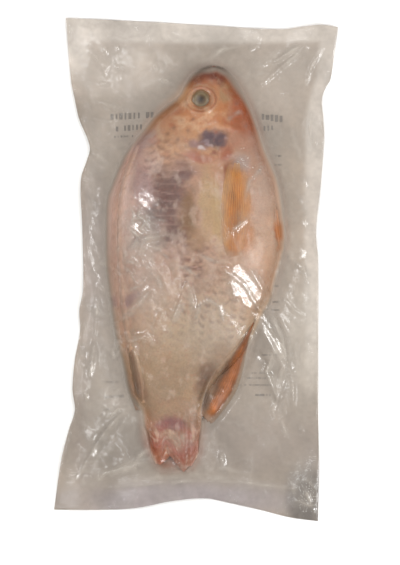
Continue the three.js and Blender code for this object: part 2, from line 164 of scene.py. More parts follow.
# finer creases of the same kind, only in the film: sharp little ridges and pinches
fineCreases = [
    (1.1, 1.6, (18.5, -0.3), (26.4, -5.6), (32.3, -10.2), (37, -18.8), (43.6, -28.1), (48.8, -36.6)),
    (1.4, 1.3, (43.6, -20.1), (51.5, -30.7), (57.4, -43.9), (60.1, -63.7)),
    (0.8, 1.1, (46.2, -26.1), (53.5, -37.3), (58.1, -49.8)),
    (0.9, 1.1, (-39.6, 43.9), (-36.3, 40.6), (-38.3, 35.3), (-33, 32), (-36.3, 26.7), (-30.4, 23.4)),
    (0.7, 1.1, (-43.6, 41.9), (-40.9, 36.6), (-42.2, 30)),
    (0.7, 1.3, (0, -32), (2.6, -23.4), (8.6, -20.1), (15.2, -24.1), (17.2, -33.3)),
    (0.8, 1.3, (-29.7, 5), (-25.1, -4.3), (-21.8, -14.9), (-19.8, -22.8)),
    (0.8, 1.4, (-63.4, 5), (-55.4, 1), (-48.8, -4.3)),
    (1, 1.1, (-44.9, 27.4), (-39.6, 23.4), (-35, 17.5), (-37.6, 10.2), (-33, 5)),
    (0.8, 1.1, (-31.7, 36.6), (-26.4, 33.3), (-19.8, 31.4)),
    (0.9, 1.2, (-30.4, 15.5), (-23.8, 12.9), (-17.2, 6.3), (-14.5, -3)),
    (0.9, 1.1, (-43.6, -13.5), (-37, -10.9), (-32.3, -5.6)),
    (0.8, 1.1, (-47.5, 5), (-42.2, 5), (-37.6, 1)),
    (0.8, 1.1, (-25.1, -28.1), (-29, -37.3), (-27.7, -46.5)),
    (0.8, 1.4, (-64.7, -10.9), (-58.1, -17.5), (-51.5, -21.4)),
    (0.7, 1.4, (60.7, 12.9), (66, 5), (71.3, -0.3)),
    (0.7, 1.4, (59.4, -20.1), (64.7, -26.7), (70.6, -30.7)),
    (0.6, 1.5, (9.2, 138.3), (17.2, 144.9), (29, 147.5)),
    (0.6, 1.5, (-15.8, 122.4), (-23.8, 126.4), (-33, 125.1)),
    (0.6, 1.5, (33.7, 127.7), (43.6, 130.3), (55.4, 127.7)),
    (0.7, 1.4, (-43.6, -132.3), (-37, -122.4), (-29, -117.8)),
    (0.6, 1.6, (5.9, -132.3), (19.1, -131), (34.3, -135)),
    (1.5, 1.1, (43.6, -34.6), (52.1, -46.5), (58.1, -59.7), (59.4, -69.6), (53.5, -85.5)),
    (1.1, 1.1, (50.2, -57.8), (46.2, -67.7), (53.5, -85.5)),
    (0.9, 1.1, (53.5, -45.2), (58.7, -53.1), (61.4, -67.7), (56.8, -80.9)),
    (1, 1.1, (24.4, 24.8), (26.4, 16.2), (35.6, -0.3), (43.6, -13.5)),
    (1.1, 1.4, (21.1, 19.5), (25.1, 26.7), (33.7, 33.3)),
    (1, 1.2, (-5.3, -8.9), (-9.9, -20.1), (-15.8, -34.6), (-17.8, -45.2)),
    (0.8, 1.1, (-5.3, -8.9), (-2.6, -17.5), (-0.7, -28.1)),
    (0.9, 1.2, (-34.3, 38.6), (-30.4, 31.4), (-25.7, 28.7)),
    (0.8, 1.2, (-41.6, 32.7), (-35.6, 34.6), (-30.4, 26.7), (-25.1, 24.8)),
    (1.1, 1.2, (-43.6, 14.2), (-38.3, 19.5), (-31.7, 20.8), (-20.5, 22.1)),
    (1.1, 1.1, (-47.5, 12.9), (-46.9, 7.6)),
    (1.1, 1.1, (-46.2, 1), (-42.9, -1.7), (-39.6, -8.9)),
    (0.9, 1.1, (-35.6, 5), (-30.4, -0.3), (-25.1, -6.9), (-23.1, -17.5)),
    (1.1, 1.1, (-55.4, -36), (-48.8, -33.3), (-41.6, -27.4), (-35.6, -20.1), (-30.4, -14.2)),
    (1.1, 1.1, (-50.2, -44.6), (-44.9, -46.5), (-37.6, -45.9), (-28.4, -47.2)),
    (0.9, 1.1, (-51.5, -47.9), (-55.4, -53.8), (-54.1, -58.4), (-48.8, -50.5)),
    (0.8, 1.1, (-37.6, -45.2), (-32.3, -41.9), (-28.4, -47.2)),
    (1.1, 1.1, (-44.9, -91.4), (-52.1, -98), (-60.1, -107.2), (-67.3, -117.8), (-73.3, -129),
     (-77.9, -138.9)),
    (0.9, 1.1, (-44.9, -91.4), (-51.5, -92.1), (-58.1, -98)),
    (1, 1.1, (-67.3, -49.8), (-68.6, -59.7), (-70, -71)),
    (1, 1.1, (-72.6, -81.5), (-71.9, -86.1)),
    (0.6, 1.1, (-65.3, -20.1), (-66, -33.3), (-67.3, -49.8)),
    (1.2, 1.1, (-60.1, 147.5), (-59.4, 142.2)),
    (1.1, 1.1, (-52.1, 148.2), (-51.5, 144.9)),
    (1.1, 1.1, (-70, 144.9), (-66, 139.6), (-61.4, 133), (-59.4, 127.7)),
    (1.1, 1.1, (-62, 137), (-58.1, 134.3), (-60.7, 128.4)),
    (1.1, 1.1, (-52.1, 133.7), (-48.8, 132.3), (-44.9, 131)),
    (1, 1.1, (-64, 122.4), (-58.1, 121.8)),
    (0.9, 1.4, (-27.7, 137), (-26.4, 133), (-28.4, 127.7)),
    (0.8, 1.1, (-23.8, 137), (-21.8, 134.3)),
    (1, 1.1, (-70, 100.7), (-64, 98.7), (-55.4, 97.4)),
    (0.8, 1.4, (-61.4, 109.9), (-55.4, 107.9), (-44.9, 104)),
    (0.8, 1.2, (-66, 111.9), (-59.4, 109.2), (-56.8, 104)),
    (1, 1.1, (38.9, 158.1), (42.2, 152.8), (40.3, 147.5), (31.7, 142.2)),
    (1.1, 1.1, (71.9, 148.8), (63.4, 144.9), (54.1, 138.3), (43.6, 134.3)),
    (1.2, 1.1, (73.3, 147.5), (65.3, 140.9), (55.4, 133), (48.8, 127.1), (43.6, 122.4)),
    (0.9, 1.2, (83.2, 146.2), (76.6, 134.3), (72.6, 122.4)),
    (1.1, 1.1, (77.2, 115.2), (76.6, 105.3), (75.2, 93.4), (76.6, 78.9)),
    (1.1, 1.1, (78.5, 88.1), (78.5, 81.5)),
    (0.9, 1.1, (84.5, 98.7), (83.8, 90.8)),
    (0.8, 1.1, (52.8, 59.1), (55.4, 45.9), (57.4, 31.4), (59.4, 19.5)),
    (1.1, 1.1, (72.6, 61.7), (72.6, 56.4)),
    (1.1, 1.1, (72.6, 36.6), (72.6, 31.4)),
    (1, 1.1, (70.6, 5), (71.9, -1.7), (73.3, -8.9)),
    (1, 1.1, (63.4, -67.7), (64, -78.2), (64, -88.8)),
    (1, 1.1, (58.1, -88.1), (58.7, -96)),
    (1, 1.1, (54.1, -85.5), (50.8, -92.7), (52.1, -98)),
    (0.9, 1.1, (56.8, -100), (60.1, -110.6)),
    (1, 1.1, (70, -102), (70.6, -107.2)),
    (0.8, 1.5, (68.6, -46.5), (66, -54.5), (68.6, -63.7)),
    (1.1, 1.1, (17.2, -122.4), (17.8, -128.4)),
    (0.8, 1.5, (-63.4, -138.9), (-60.1, -134.3), (-44.9, -130.3), (-29, -125.7)),
    (0.9, 1.1, (-56.8, -144.2), (-30.4, -141.6), (-4, -139.6), (29, -140.2), (66, -144.9)),
    (1.1, 1.2, (68.6, -140.2), (73.9, -149.5), (77.9, -160.1)),
    (1.1, 1.1, (72.6, -138.9), (79.2, -145.5)),
    (1, 1.1, (66, -152.1), (75.2, -156.1), (80.5, -154.8)),
    (0.5, 1.5, (21.1, 98.7), (29, 104), (37, 100)),
    (0.5, 1.5, (32.3, 45.9), (35.6, 59.1), (43.6, 67)),
    (0.5, 1.4, (2.6, 9.6), (12.5, 5), (23.8, 5)),
    (0.5, 1.4, (-17.2, 5), (-6.6, 1), (5.3, -8.2)),
]

# broad soft folds in the loose film, not in its shape: painted highlight as paler streaks along them
foldSheenStreaks = [
    (1, 2.4, (-60.7, 138.3), (-51.5, 137), (-30.4, 131.7), (-13.2, 138.3), (5.9, 144.9), (29, 140.9)),
    (1, 2.6, (33.7, 130.3), (43.6, 137), (56.8, 143.6), (68.6, 147.5)),
    (0.8, 3.4, (-30.4, 114.5), (-23.8, 122.4), (-13.2, 126.4)),
    (1, 2.4, (-76.6, -20.1), (-66.7, -28.1), (-53.5, -32)),
    (1, 2.8, (-71.3, 1), (-60.7, 5), (-51.5, 14.2)),
    (1, 2.4, (-73.9, -67.7), (-66, -63.7), (-59.4, -53.1), (-50.2, -47.9)),
    (1, 2.4, (-67.3, -112.5), (-60.7, -99.3), (-52.8, -86.1), (-48.8, -72.9)),
    (1, 2.2, (-83.2, -137.6), (-68.6, -132.3), (-55.4, -115.2), (-44.9, -99.3)),
    (1, 2.6, (-68.6, -140.2), (-47.5, -132.3), (-30.4, -120.5)),
    (1, 2, (-64.7, -142.9), (-37, -138.9), (-4, -135), (29, -138.9), (63.4, -145.5)),
    (0.9, 2.2, (59.4, 111.9), (63.4, 92.1), (70, 72.3), (70.6, 26.1)),
    (1, 2.4, (68.6, 12.9), (72.6, -20.1), (66.7, -43.9)),
    (0.8, 2.4, (58.7, 5), (67.3, -13.5), (75.2, -20.1)),
    (0.9, 2.4, (-72.6, 72.3), (-68.6, 52.5), (-70, 26.1)),
    (0.7, 3, (29, -102.6), (43.6, -112.5), (62, -116.5)),
]


def easeStep(t, low, high):
    f = np.clip((t - low) / (high - low), 0, 1)
    return f * f * (3 - 2 * f)


def roundedMax(a, b, width):
    share = np.clip(0.5 + (a - b) / (2 * width), 0, 1)
    return b * (1 - share) + a * share + width * share * (1 - share)


def nearest(path, x, y):
    # distance to a path, and how far along it the nearest point is, from 0 to 1
    best = np.full(np.shape(x), np.inf)
    along = np.zeros(np.shape(x))
    for i in range(len(path) - 1):
        (ax, ay), (bx, by) = path[i], path[i + 1]
        lengthSquared = (bx - ax) ** 2 + (by - ay) ** 2
        if lengthSquared == 0:
            continue
        t = np.clip(((x - ax) * (bx - ax) + (y - ay) * (by - ay)) / lengthSquared, 0, 1)
        distance = np.hypot(x - ax - t * (bx - ax), y - ay - t * (by - ay))
        closer = distance < best
        best = np.where(closer, distance, best)
        along = np.where(closer, (i + t) / (len(path) - 1), along)
    return best, along


def bell(distance, width):
    return np.exp(-((distance / width) ** 2))


def ridge(x, y, height, width, *path, floor=0.35):
    # only the points near the crease are worked out
    points = np.array(path)
    low, high = points.min(0) - width * 3.2, points.max(0) + width * 3.2
    near = (x > low[0]) & (x < high[0]) & (y > low[1]) & (y < high[1])
    added = np.zeros(np.shape(x))
    if near.any():
        distance, along = nearest(path, x[near], y[near])
        fade = floor + (1 - floor) * np.sin(np.pi * along)
        added[near] = height * fade * bell(distance, width)
    return added


def spot(x, y, place, low, high, wobble=0):
    # 1 in the middle of an oval place, 0 outside it
    cx, cy, rx, ry = place
    return 1 - easeStep(np.hypot((x - cx) / rx, (y - cy) / ry) + wobble, low, high)


def randomCells(gx, gy, count, seed):
    # random heights at the four corners of each grid cell, and the place inside the cell
    table = np.random.default_rng(seed).uniform(-1, 1, (count, count))
    i, j = np.floor(gx).astype(int), np.floor(gy).astype(int)
    a, b = table[i % count, j % count], table[(i + 1) % count, j % count]
    c, d = table[i % count, (j + 1) % count], table[(i + 1) % count, (j + 1) % count]
    return a, b, c, d, gx - i, gy - j


def cloud(x, y, size, seed):
    # smooth random heights from -1 to 1, about size millimetres across
    a, b, c, d, fx, fy = randomCells(np.asarray(x) / size, np.asarray(y) / size, 97, seed)
    fx, fy = fx * fx * (3 - 2 * fx), fy * fy * (3 - 2 * fy)
    return (a * (1 - fx) + b * fx) * (1 - fy) + (c * (1 - fx) + d * fx) * fy


def mottle(x, y, size, seed, octaves=3):
    total, weight = 0, 0
    for k in range(octaves):
        total = total + cloud(x + 13.7 * k, y - 7.1 * k, size / 2 ** k, seed + k) * 0.55 ** k
        weight += 0.55 ** k
    return total / weight


def facets(x, y, size, seed):
    # flat triangles of random tilt that meet in sharp creases, as crumpled film has them
    wx = x + 0.45 * size * mottle(x, y, size * 1.7, seed + 50, 2)
    wy = y + 0.45 * size * mottle(x + 91, y - 37, size * 1.7, seed + 60, 2)
    a, b, c, d, fx, fy = randomCells(wx / size, (wy + 0.5 * wx) / size, 89, seed)
    lower = a + (b - a) * fx + (c - a) * fy
    upper = d + (c - d) * (1 - fx) + (b - d) * (1 - fy)
    return np.where(fx + fy < 1, lower, upper)


def finnedBack(y):
    # the back with the long dorsal fin
    share = easeStep(y, -96, -84) * (1 - easeStep(y, 76, 88))
    return bodyBack(y) * (1 - share) + np.minimum(dorsalEdge(y), bodyBack(y)) * share


def fishOutline(back):
    # closed path up the back and down the belly
    path = [(float(back(y)), y) for y in range(tailEndY, snoutY + 1, 4)]
    path += [(float(bodyBelly(y)), y) for y in range(snoutY, tailEndY - 1, -4)]
    return path + path[:1]


outlinePath = fishOutline(finnedBack)
bodyPath = fishOutline(bodyBack)


def insideBody(x, y):
    return (y > tailEndY) & (y < snoutY) & (x > bodyBack(y)) & (x < bodyBelly(y))


def toBody(x, y):
    distance, along = nearest(bodyPath, x, y)
    return np.where(insideBody(x, y), 0, distance), along


def sectionProfile(x, back, belly):
    # rounded section of the body, 1 at its thickest line and 0 at the back and the belly
    middle = back * 0.53 + belly * 0.47
    edge = np.where(x < middle, back, belly)
    across = np.clip(np.abs((x - middle) / (edge - middle)), 0, 1)
    return (1 - across ** flankRoundness) ** 0.58


def flankProfile(x, y):
    return np.where(insideBody(x, y), sectionProfile(x, bodyBack(y), bodyBelly(y)), 0)


def rimMiddle(x, y, toFish):
    free = easeStep(toFish, 4, 30)
    wave = (np.sin(2 * np.pi * (y + 0.35 * x) / rippleLength) * 0.6
            + np.sin(2 * np.pi * (x - 0.5 * y) / (rippleLength * 0.62) + 1.3) * 0.4)
    return rimHeight + rimLift * np.exp(-toFish / rimLiftReach) + rippleHeight * wave * free


def pocketShare(x, y):
    sideways = np.minimum(x - leftSeal(y), rightSeal(y) - x)
    lengthways = np.minimum(topSeal(x) - y, y - bottomSeal(x))
    return easeStep(np.minimum(sideways, lengthways), -2.5, 2.5)


def leafReach(fin, along):
    rootShare = fin.get("rootShare", 1)
    tapered = rootShare + (1 - rootShare) * easeStep(along, 0, 0.75)
    return fin["halfWidth"] * tapered * (0.3 + 0.7 * np.sin(np.pi * np.clip(along * 0.85 + 0.1, 0, 1)))


def leafAxes(fin):
    root, tip = np.array(fin["root"], float), np.array(fin["tip"], float)
    length = np.hypot(*(tip - root))
    return root, (tip - root) / length, length


def leafFinHeight(fin, x, y, soft=1.2):
    root, axis, length = leafAxes(fin)
    along = ((x - root[0]) * axis[0] + (y - root[1]) * axis[1]) / length
    across = (x - root[0]) * axis[1] - (y - root[1]) * axis[0]
    reach = leafReach(fin, along)
    edge = 1 - easeStep(np.abs(across), reach - 1.6 * soft, reach + soft)
    ends = easeStep(along, -0.06, 0.04) * (1 - easeStep(along, 0.9, 1.06))
    return fin["rise"] * edge * ends * (1 - fin.get("lift", 0) * np.clip(across / reach, -1, 1))


def dorsalBand(x, y):
    outer, inner = dorsalEdge(y), bodyBack(y) + 6
    ends = easeStep(y, -96, -86) * (1 - easeStep(y, 74, 86))
    return easeStep(x, outer - 3, outer + 4) * (1 - easeStep(x, inner - 6, inner + 12)) * ends


def eyeDistance(x, y):
    return np.hypot(x - eyeAt[0], y - eyeAt[1])


def headRelief(x, y):
    ring = 1.5 * bell(eyeDistance(x, y) - eyeSocket, 1.9)
    cover = spot(x, y, (11, 95, 27, 25), 0.84, 1.08) * easeStep(112 - y, -4, 14)
    cheek = ridge(x, y, 0.8, 2.2, (3, 92), (14, 95.5), (30, 92))
    mouth = ridge(x, y, -1.4, 1.5, (9, 134), (12, 129.5), (15.5, 124.5))
    return ring + cover + cheek + mouth


def tautHeight(fold, x, y):
    (ax, ay), (bx, by) = fold["start"], fold["end"]
    length = math.hypot(bx - ax, by - ay)
    ux, uy = (bx - ax) / length, (by - ay) / length
    along = ((x - ax) * ux + (y - ay) * uy) / length
    side = (x - ax) * -uy + (y - ay) * ux
    slope = np.where(side > 0, fold["outer"], fold["inner"])
    ends = 6 * (np.clip(-along, 0, None) + np.clip(along - 1, 0, None)) * 8
    crest = fold["top"] + (fold["bottom"] - fold["top"]) * along
    steep = 0.9 * np.clip(np.abs(side) - fold["strip"], 0, None)
    return crest - slope * np.abs(side) - steep - ends


def pulledDistance(face, x, y):
    # 1 at the rim of the oval in which the film is pulled flat
    dx, dy = x - face["centre"][0], y - face["centre"][1]
    ux, uy = face["along"]
    return np.hypot((dx * ux + dy * uy) / face["radii"][0], (dx * uy - dy * ux) / face["radii"][1])


def pulledHeight(face, x, y, startHeight):
    dx, dy = x - face["centre"][0], y - face["centre"][1]
    far = pulledDistance(face, x, y) + 0.3 * mottle(x, y, 6, 231, 2)
    return startHeight + face["slope"][0] * dx + face["slope"][1] * dy - 40 * np.clip(far - 1, 0, None)


def bodyTop(x, y):
    # upper side of the fish without the film
    return middleHeight(y) + halfThickness(y) * flankProfile(x, y)


def filmTop(x, y, pulled=True):
    # the front film where the solid has it
    toFish, aroundFish = toBody(x, y)
    share = pocketShare(x, y)
    rim = rimMiddle(x, y, toFish) + (rimThickness * (1 - share) + pocketThickness * share) / 2
    beside = halfThickness(np.clip(y, tailEndY, snoutY))
    tent = rim + tentShare * beside * np.exp(-((toFish / tentReach) ** 1.5))
    tent = tent + 1.4 * easeStep(-y, 84, 104) * bell(toFish, 12)
    profile = flankProfile(x, y)
    body = np.where(profile > 0, bodyTop(x, y), 0)
    height = roundedMax(body, tent, 2.5) + 2.2 * dorsalBand(x, y) * (1 - 0.6 * profile)
    for fin in leafFins.values():
        height = height + leafFinHeight(fin, x, y, 3)
    height = height + headRelief(x, y) * easeStep(profile, 0, 0.4)
    height = roundedMax(height, tautHeight(tautFold, x, y), 0.8)
    for face in pulledFaces if pulled else []:
        centre = [np.array([value]) for value in face["centre"]]
        start = float(filmTop(*centre, pulled=False)[0][0]) + face["lift"]
        height = roundedMax(height, np.minimum(pulledHeight(face, x, y, start), height + 1.6), 0.4)
    tailNotch = bell(np.hypot(x + 18, y + 126), 5)
    return height - 2.6 * tailNotch, toFish, aroundFish


def filmBottom(x, y):
    toFish, _ = toBody(x, y)
    rim = rimMiddle(x, y, toFish) - rimThickness / 2
    profile = flankProfile(x, y)
    body = middleHeight(y) - belowShare * halfThickness(y) * profile
    return np.maximum(np.where(profile > 0, -roundedMax(-body, -rim, 2.5), rim), 0), toFish


# mesh and material helpers

def linear(hexColour):
    # sRGB hex to the linear values that Blender wants
    value = [int(hexColour[i:i + 2], 16) / 255 for i in (1, 3, 5)]
    return np.array([v / 12.92 if v <= 0.04045 else ((v + 0.055) / 1.055) ** 2.4 for v in value])


def paint(tint, weight, colour):
    # lays a colour over a tint, as far as the weight says
    share = np.asarray(weight)[..., None]
    return tint * (1 - share) + (linear(colour) if isinstance(colour, str) else colour) * share


def shade(tint, change):
    # lightens a tint where the change is above 0 and darkens it below
    return tint * (1 + change[..., None])


def addNode(tree, kind, links=(), **settings):
    # one node: settings go to its properties or, as in_Name or in_0, to its sockets
    node = tree.nodes.new(kind)
    for name, value in settings.items():
        if name.startswith("in_"):
            key = name[3:].replace("_", " ")
            node.inputs[int(key) if key.isdigit() else key].default_value = value
        else:
            setattr(node, name, value)
    # a link comes from one socket, or from a node's first output
    for source, target in links:
        tree.links.new(getattr(source, "outputs", [source])[0], node.inputs[target])
    return node


def startMaterial(name):
    material = bpy.data.materials.new(name)
    material.use_nodes = True
    material.node_tree.nodes.clear()
    return material, material.node_tree


def finishMaterial(tree, shader):
    addNode(tree, "ShaderNodeOutputMaterial", [(shader, "Surface")])


def objectNoise(tree, scale, detail, roughness):
    place = addNode(tree, "ShaderNodeTexCoord")
    return addNode(tree, "ShaderNodeTexNoise", [(place.outputs["Object"], "Vector")],
                   in_Scale=scale, in_Detail=detail, in_Roughness=roughness)


def surfaceMaterial(name, colour, roughness, noise=(500, 2, 0.5), contrast=0.15, under=0, bump=0):
    # one finish: a painted tint or a hex colour, mottled by a fine noise (scale, detail, roughness)
    material, tree = startMaterial(name)
    grain = objectNoise(tree, *noise)
    mixed = addNode(tree, "ShaderNodeMix", data_type="RGBA", blend_type="OVERLAY", in_0=contrast)
    if colour.startswith("#"):
        mixed.inputs[6].default_value = (*linear(colour), 1)
    else:
        tint = addNode(tree, "ShaderNodeAttribute", attribute_name=colour)
        tree.links.new(tint.outputs["Color"], mixed.inputs[6])
    tree.links.new(grain.outputs["Fac"], mixed.inputs[7])
    shader = addNode(tree, "ShaderNodeBsdfPrincipled", [(mixed.outputs[2], "Base Color")],
                     in_Roughness=roughness, in_Subsurface_Weight=under, in_Subsurface_Scale=0.002)
    if bump:
        bumped = addNode(tree, "ShaderNodeBump", [(grain.outputs["Fac"], "Height")],
                         in_Strength=bump, in_Distance=0.0003)
        tree.links.new(bumped.outputs["Normal"], shader.inputs["Normal"])
    finishMaterial(tree, shader)
    return material


def linkItem(name, data):
    item = bpy.data.objects.new(name, data)
    bpy.context.collection.objects.link(item)
    return item


def makeMesh(name, vertices, faces, material, attributes=None, edges=()):
    mesh = bpy.data.meshes.new(name)
    faces = faces if isinstance(faces, list) else faces.tolist()
    mesh.from_pydata((np.asarray(vertices) * mm).tolist(), list(edges), faces)
    if material:
        mesh.materials.append(material)
    for attributeName, values in (attributes or {}).items():
        values = np.asarray(values, np.float32)
        if values.ndim == 2:
            layer = mesh.attributes.new(attributeName, "FLOAT_COLOR", "POINT")
            rgba = np.concatenate((values, np.ones((len(values), 1), np.float32)), axis=1)
            layer.data.foreach_set("color", rgba.ravel())
        else:
            layer = mesh.attributes.new(attributeName, "FLOAT", "POINT")
            layer.data.foreach_set("value", values.ravel())
    mesh.polygons.foreach_set("use_smooth", [True] * len(mesh.polygons))
    mesh.update()
    return linkItem(name, mesh)


def gridPoints(x, y, z):
    return np.stack((x, y, z), -1).reshape(-1, 3)


def gridFaces(rows, columns, wrap=False):
    # quads of a grid whose points run column by column along each row
    r = np.arange(rows - 1)[:, None]
    c = np.arange(columns if wrap else columns - 1)[None, :]
    nextColumn = (c + 1) % columns
    a, b = r * columns + c, r * columns + nextColumn
    d, e = (r + 1) * columns + c, (r + 1) * columns + nextColumn
    return np.stack((a, b, e, d), axis=-1).reshape(-1, 4)


def keep(item, slotName):
    pieces.append((item, slotName))
    return item


# skin

skinGround = [  # y, then the colours of back, middle and belly
    (137, "#7d4030", "#84482f", "#7d4030"), (120, "#a36c48", "#a97048", "#935231"),
    (104, "#aa7450", "#ae7348", "#8f4f2b"), (84, "#b08c74", "#ac805e", "#a27560"),
    (50, "#b3988e", "#a38170", "#b39380"), (0, "#ad9082", "#a88c7a", "#b3937c"),
    (-40, "#ab8f7b", "#b09a82", "#b59b82"), (-66, "#9f8468", "#97806a", "#9c826c"),
    (-88, "#937860", "#998068", "#967a5e"), (-98, "#9c7054", "#90705c", "#8a6850"),
    (-110, "#9c6a4e", "#8e604e", "#926650"), (-132, "#945232", "#8a5846", "#96604a"),
]
skinPatches = [  # centre, radii, turn in degrees, colour, strength
    (10.6, 129, 9, 8, 0, "#6a2c1e", 0.85), (9.9, 133.7, 3.6, 3, 0, "#4c2a26", 0.85),
    (2, 125.7, 4.5, 3, 20, "#6f3a2b", 0.7), (15.8, 123.8, 3.6, 4, 0, "#6c3223", 0.6),
    (7.9, 129, 3, 3, 0, "#5e2d25", 0.5), (5.3, 121.1, 7, 3, 10, "#a5704a", 0.5),
    (-5.3, 113.2, 8, 9, 0, "#e2ae82", 0.8), (-8.6, 104, 8, 7, 0, "#b07044", 0.5),
    (18.5, 115.8, 5, 8, 10, "#94795a", 0.75), (30.4, 104, 6, 16, 14, "#a04e20", 0.9),
    (26.4, 96, 9, 6, 10, "#96502a", 0.8), (6.6, 98, 12, 4, 0, "#ab6c44", 0.7),
    (10.6, 94.1, 14, 1.8, 0, "#bb8a68", 0.6), (-15.8, 101.3, 14, 8, 45, "#ab7450", 0.6),
    (11.9, 86.8, 11, 6.5, 14, "#4b3640", 0.95), (5.3, 88.8, 4, 2.6, 0, "#54404a", 0.8),
    (16.5, 82.8, 6, 4, 30, "#4f3a42", 0.85), (0, 82.2, 7, 3.6, -10, "#7a5f66", 0.75),
    (9.9, 86.1, 8, 5, 10, "#4f3a44", 0.8), (15.2, 83.5, 8, 5, -25, "#513c45", 0.8),
    # painted highlight: the four pale lilac spots on this line and the next are glints on the wet gill mark
    (5.9, 84.2, 2.6, 2.2, 20, "#8d7a83", 0.7), (3.3, 80.2, 1.6, 1.2, 0, "#c6bcc0", 0.8),
    (8.6, 81.5, 3, 1.3, -30, "#a5959c", 0.6), (19.1, 86.8, 3, 1.3, -40, "#9a868c", 0.6),
    (11.9, 76.9, 3, 1.6, 0, "#7a3c30", 0.7), (25.1, 85.5, 8, 6, 0, "#9a6c5a", 0.6),
    (2, 74.2, 12, 4, -8, "#97523a", 0.85), (19.8, 76.9, 7, 5, 30, "#934c31", 0.85),
    (19.8, 63.7, 2.6, 8, 0, "#7e3d20", 0.85), (23.8, 67, 7, 8, 0, "#86502e", 0.7),
    (-33, 84.2, 12, 6, 42, "#a08a8e", 0.6), (-7.9, 65.7, 12, 7, -15, "#735450", 0.6),
    (-18.5, 52.5, 15, 12, 0, "#4e2b26", 0.85), (-23.8, 38, 16, 11, 15, "#48241f", 0.87),
    (-15.2, 24.8, 13, 10, 20, "#4a271e", 0.85), (-9.9, 61.7, 8, 5, 20, "#57383a", 0.7),
    (-25.1, 65.7, 8, 5, -10, "#6a4a4c", 0.6), (-7.9, 45.9, 6, 7, 0, "#58393a", 0.6),
    (-29, 28.7, 7, 6, 0, "#6e5054", 0.6), (-5.3, 31.4, 6, 8, 0, "#5e4036", 0.6),
    (-4, 12.9, 13, 7, 25, "#846a5e", 0.55), (5.9, -6.9, 16, 7, 35, "#8a7266", 0.45),
    (-35.6, 59.1, 9, 24, 0, "#987a80", 0.6), (-4.6, 36, 6.5, 20, -4, "#704e24", 0.82),
    (0.7, 19.5, 7, 12, 0, "#927150", 0.65), (7.9, 42.6, 6, 27, 2, "#aa8e6a", 0.85),
    (14.5, 36, 4, 25, 4, "#a99064", 0.7), (29.7, 42.6, 8, 22, -4, "#b5783c", 0.85),
    (31, 19.5, 8, 14, -4, "#a96c34", 0.85), (-46.2, 42.6, 6, 38, 3, "#c9aca4", 0.8),
    (-52.8, 36, 3, 40, 2, "#c89e88", 0.7), (-45.5, -21.4, 12, 5, 35, "#87696c", 0.7),
    (-38.3, 18.2, 9, 3.4, 30, "#7a524c", 0.7), (-37, -78.2, 5, 15, 8, "#87664e", 0.85),
    (-30.4, 72.3, 9, 8, 40, "#b89a90", 0.6), (43.6, -0.3, 8, 20, -10, "#ab8468", 0.6),
    (54.8, 24.1, 2.6, 14, 0, "#b0682a", 0.9), (30.4, 69.6, 6, 6, 0, "#a08f8f", 0.6),
    (43.6, 52.5, 7, 18, 0, "#b0907f", 0.6), (19.1, -39.9, 14, 22, 0, "#b5a08a", 0.5),
    (6.6, -70.3, 7, 13, -24, "#5f4230", 0.8), (17.2, -54.5, 7, 9, -30, "#8a6a50", 0.5),
    (37, -45.2, 2.2, 9, -24, "#8c5038", 0.8), (29, -57.1, 4, 8, -30, "#8a5a3c", 0.6),
    (5.9, -84.8, 3.5, 9, -10, "#4e3424", 0.8), (-13.2, -87.5, 17, 5, 0, "#93745e", 0.5),
    (-16.5, -102.6, 12, 5.5, 0, "#77454f", 0.75), (-11.9, -111.9, 11, 5, -6, "#ac9080", 0.7),
    (-20.5, -110.6, 6, 4, 0, "#a07c6c", 0.6), (-26.4, -117.2, 4.5, 8, -22, "#8e3f22", 0.8),
    (-5.9, -119.8, 7, 6, 14, "#80402e", 0.8), (-15.8, -113.2, 5, 10, 0, "#a0846e", 0.6),
    (-21.8, -104.6, 5, 4, 30, "#8a4a46", 0.6), (-4, -108.6, 4, 5, 0, "#a87066", 0.5),
    (-15.8, -122.4, 8, 4, 0, "#8e4a3c", 0.7),
]
napeDots = [
    (-14.5, 93.4), (-9.9, 98.0), (4.6, 82.8), (-18.5, 89.4), (-5.3, 91.4), (-11.9, 85.5), (-2.0, 98.7),
    (-23.1, 84.8), (-6.6, 80.9), (26.4, 109.2), (21.8, 100.0), (33.0, 94.7)]
lampBalance = (0.76, 0.72, 0.66)  # the lamps are brighter than the photo's


def skinTint(x, y):
    levels = [row[0] for row in skinGround][::-1]
    wobbleY = y + 5 * mottle(x, y, 22, 5)
    ground = []
    for column in (1, 2, 3):
        colours = np.array([linear(row[column]) for row in skinGround])[::-1]
        ground.append(np.stack([np.interp(wobbleY, levels, colours[:, c]) for c in range(3)], axis=-1))
    share = np.clip((x - bodyBack(y)) / np.maximum(bodyBelly(y) - bodyBack(y), 1), 0, 1)
    share = share + 0.05 * mottle(x, y, 16, 9)
    tint = paint(ground[0], easeStep(share, 0.05, 0.42), ground[1])
    tint = paint(tint, easeStep(share, 0.58, 0.92), ground[2])
    wobbleX, wobbleY = (2.4 * mottle(x, y, 9, seed) + 1.3 * mottle(x, y, 3.4, seed + 2) for seed in (21, 31))
    for cx, cy, rx, ry, turn, hexColour, strength in skinPatches:
        c, s = math.cos(math.radians(turn)), math.sin(math.radians(turn))
        dx, dy = x - cx + wobbleX, y - cy + wobbleY
        distance = np.hypot((dx * c + dy * s) / rx, (-dx * s + dy * c) / ry)
        tint = paint(tint, strength * (1 - easeStep(distance, 0.35, 1.25)), hexColour)
    for cx, cy in napeDots:
        tint = paint(tint, 0.6 * bell(np.hypot(x - cx, y - cy), 1.3), "#6a4436")
    return tint * lampBalance


scaleRows = dict(along=5.4, across=6.2, rise=0.08, lean=0.28)


def fraction(value):
    return value - np.floor(value)


def chanceOf(value, spread=43758.5453):
    # a number from 0 to 1 that looks random but is the same each run
    return fraction(np.sin(value) * spread)


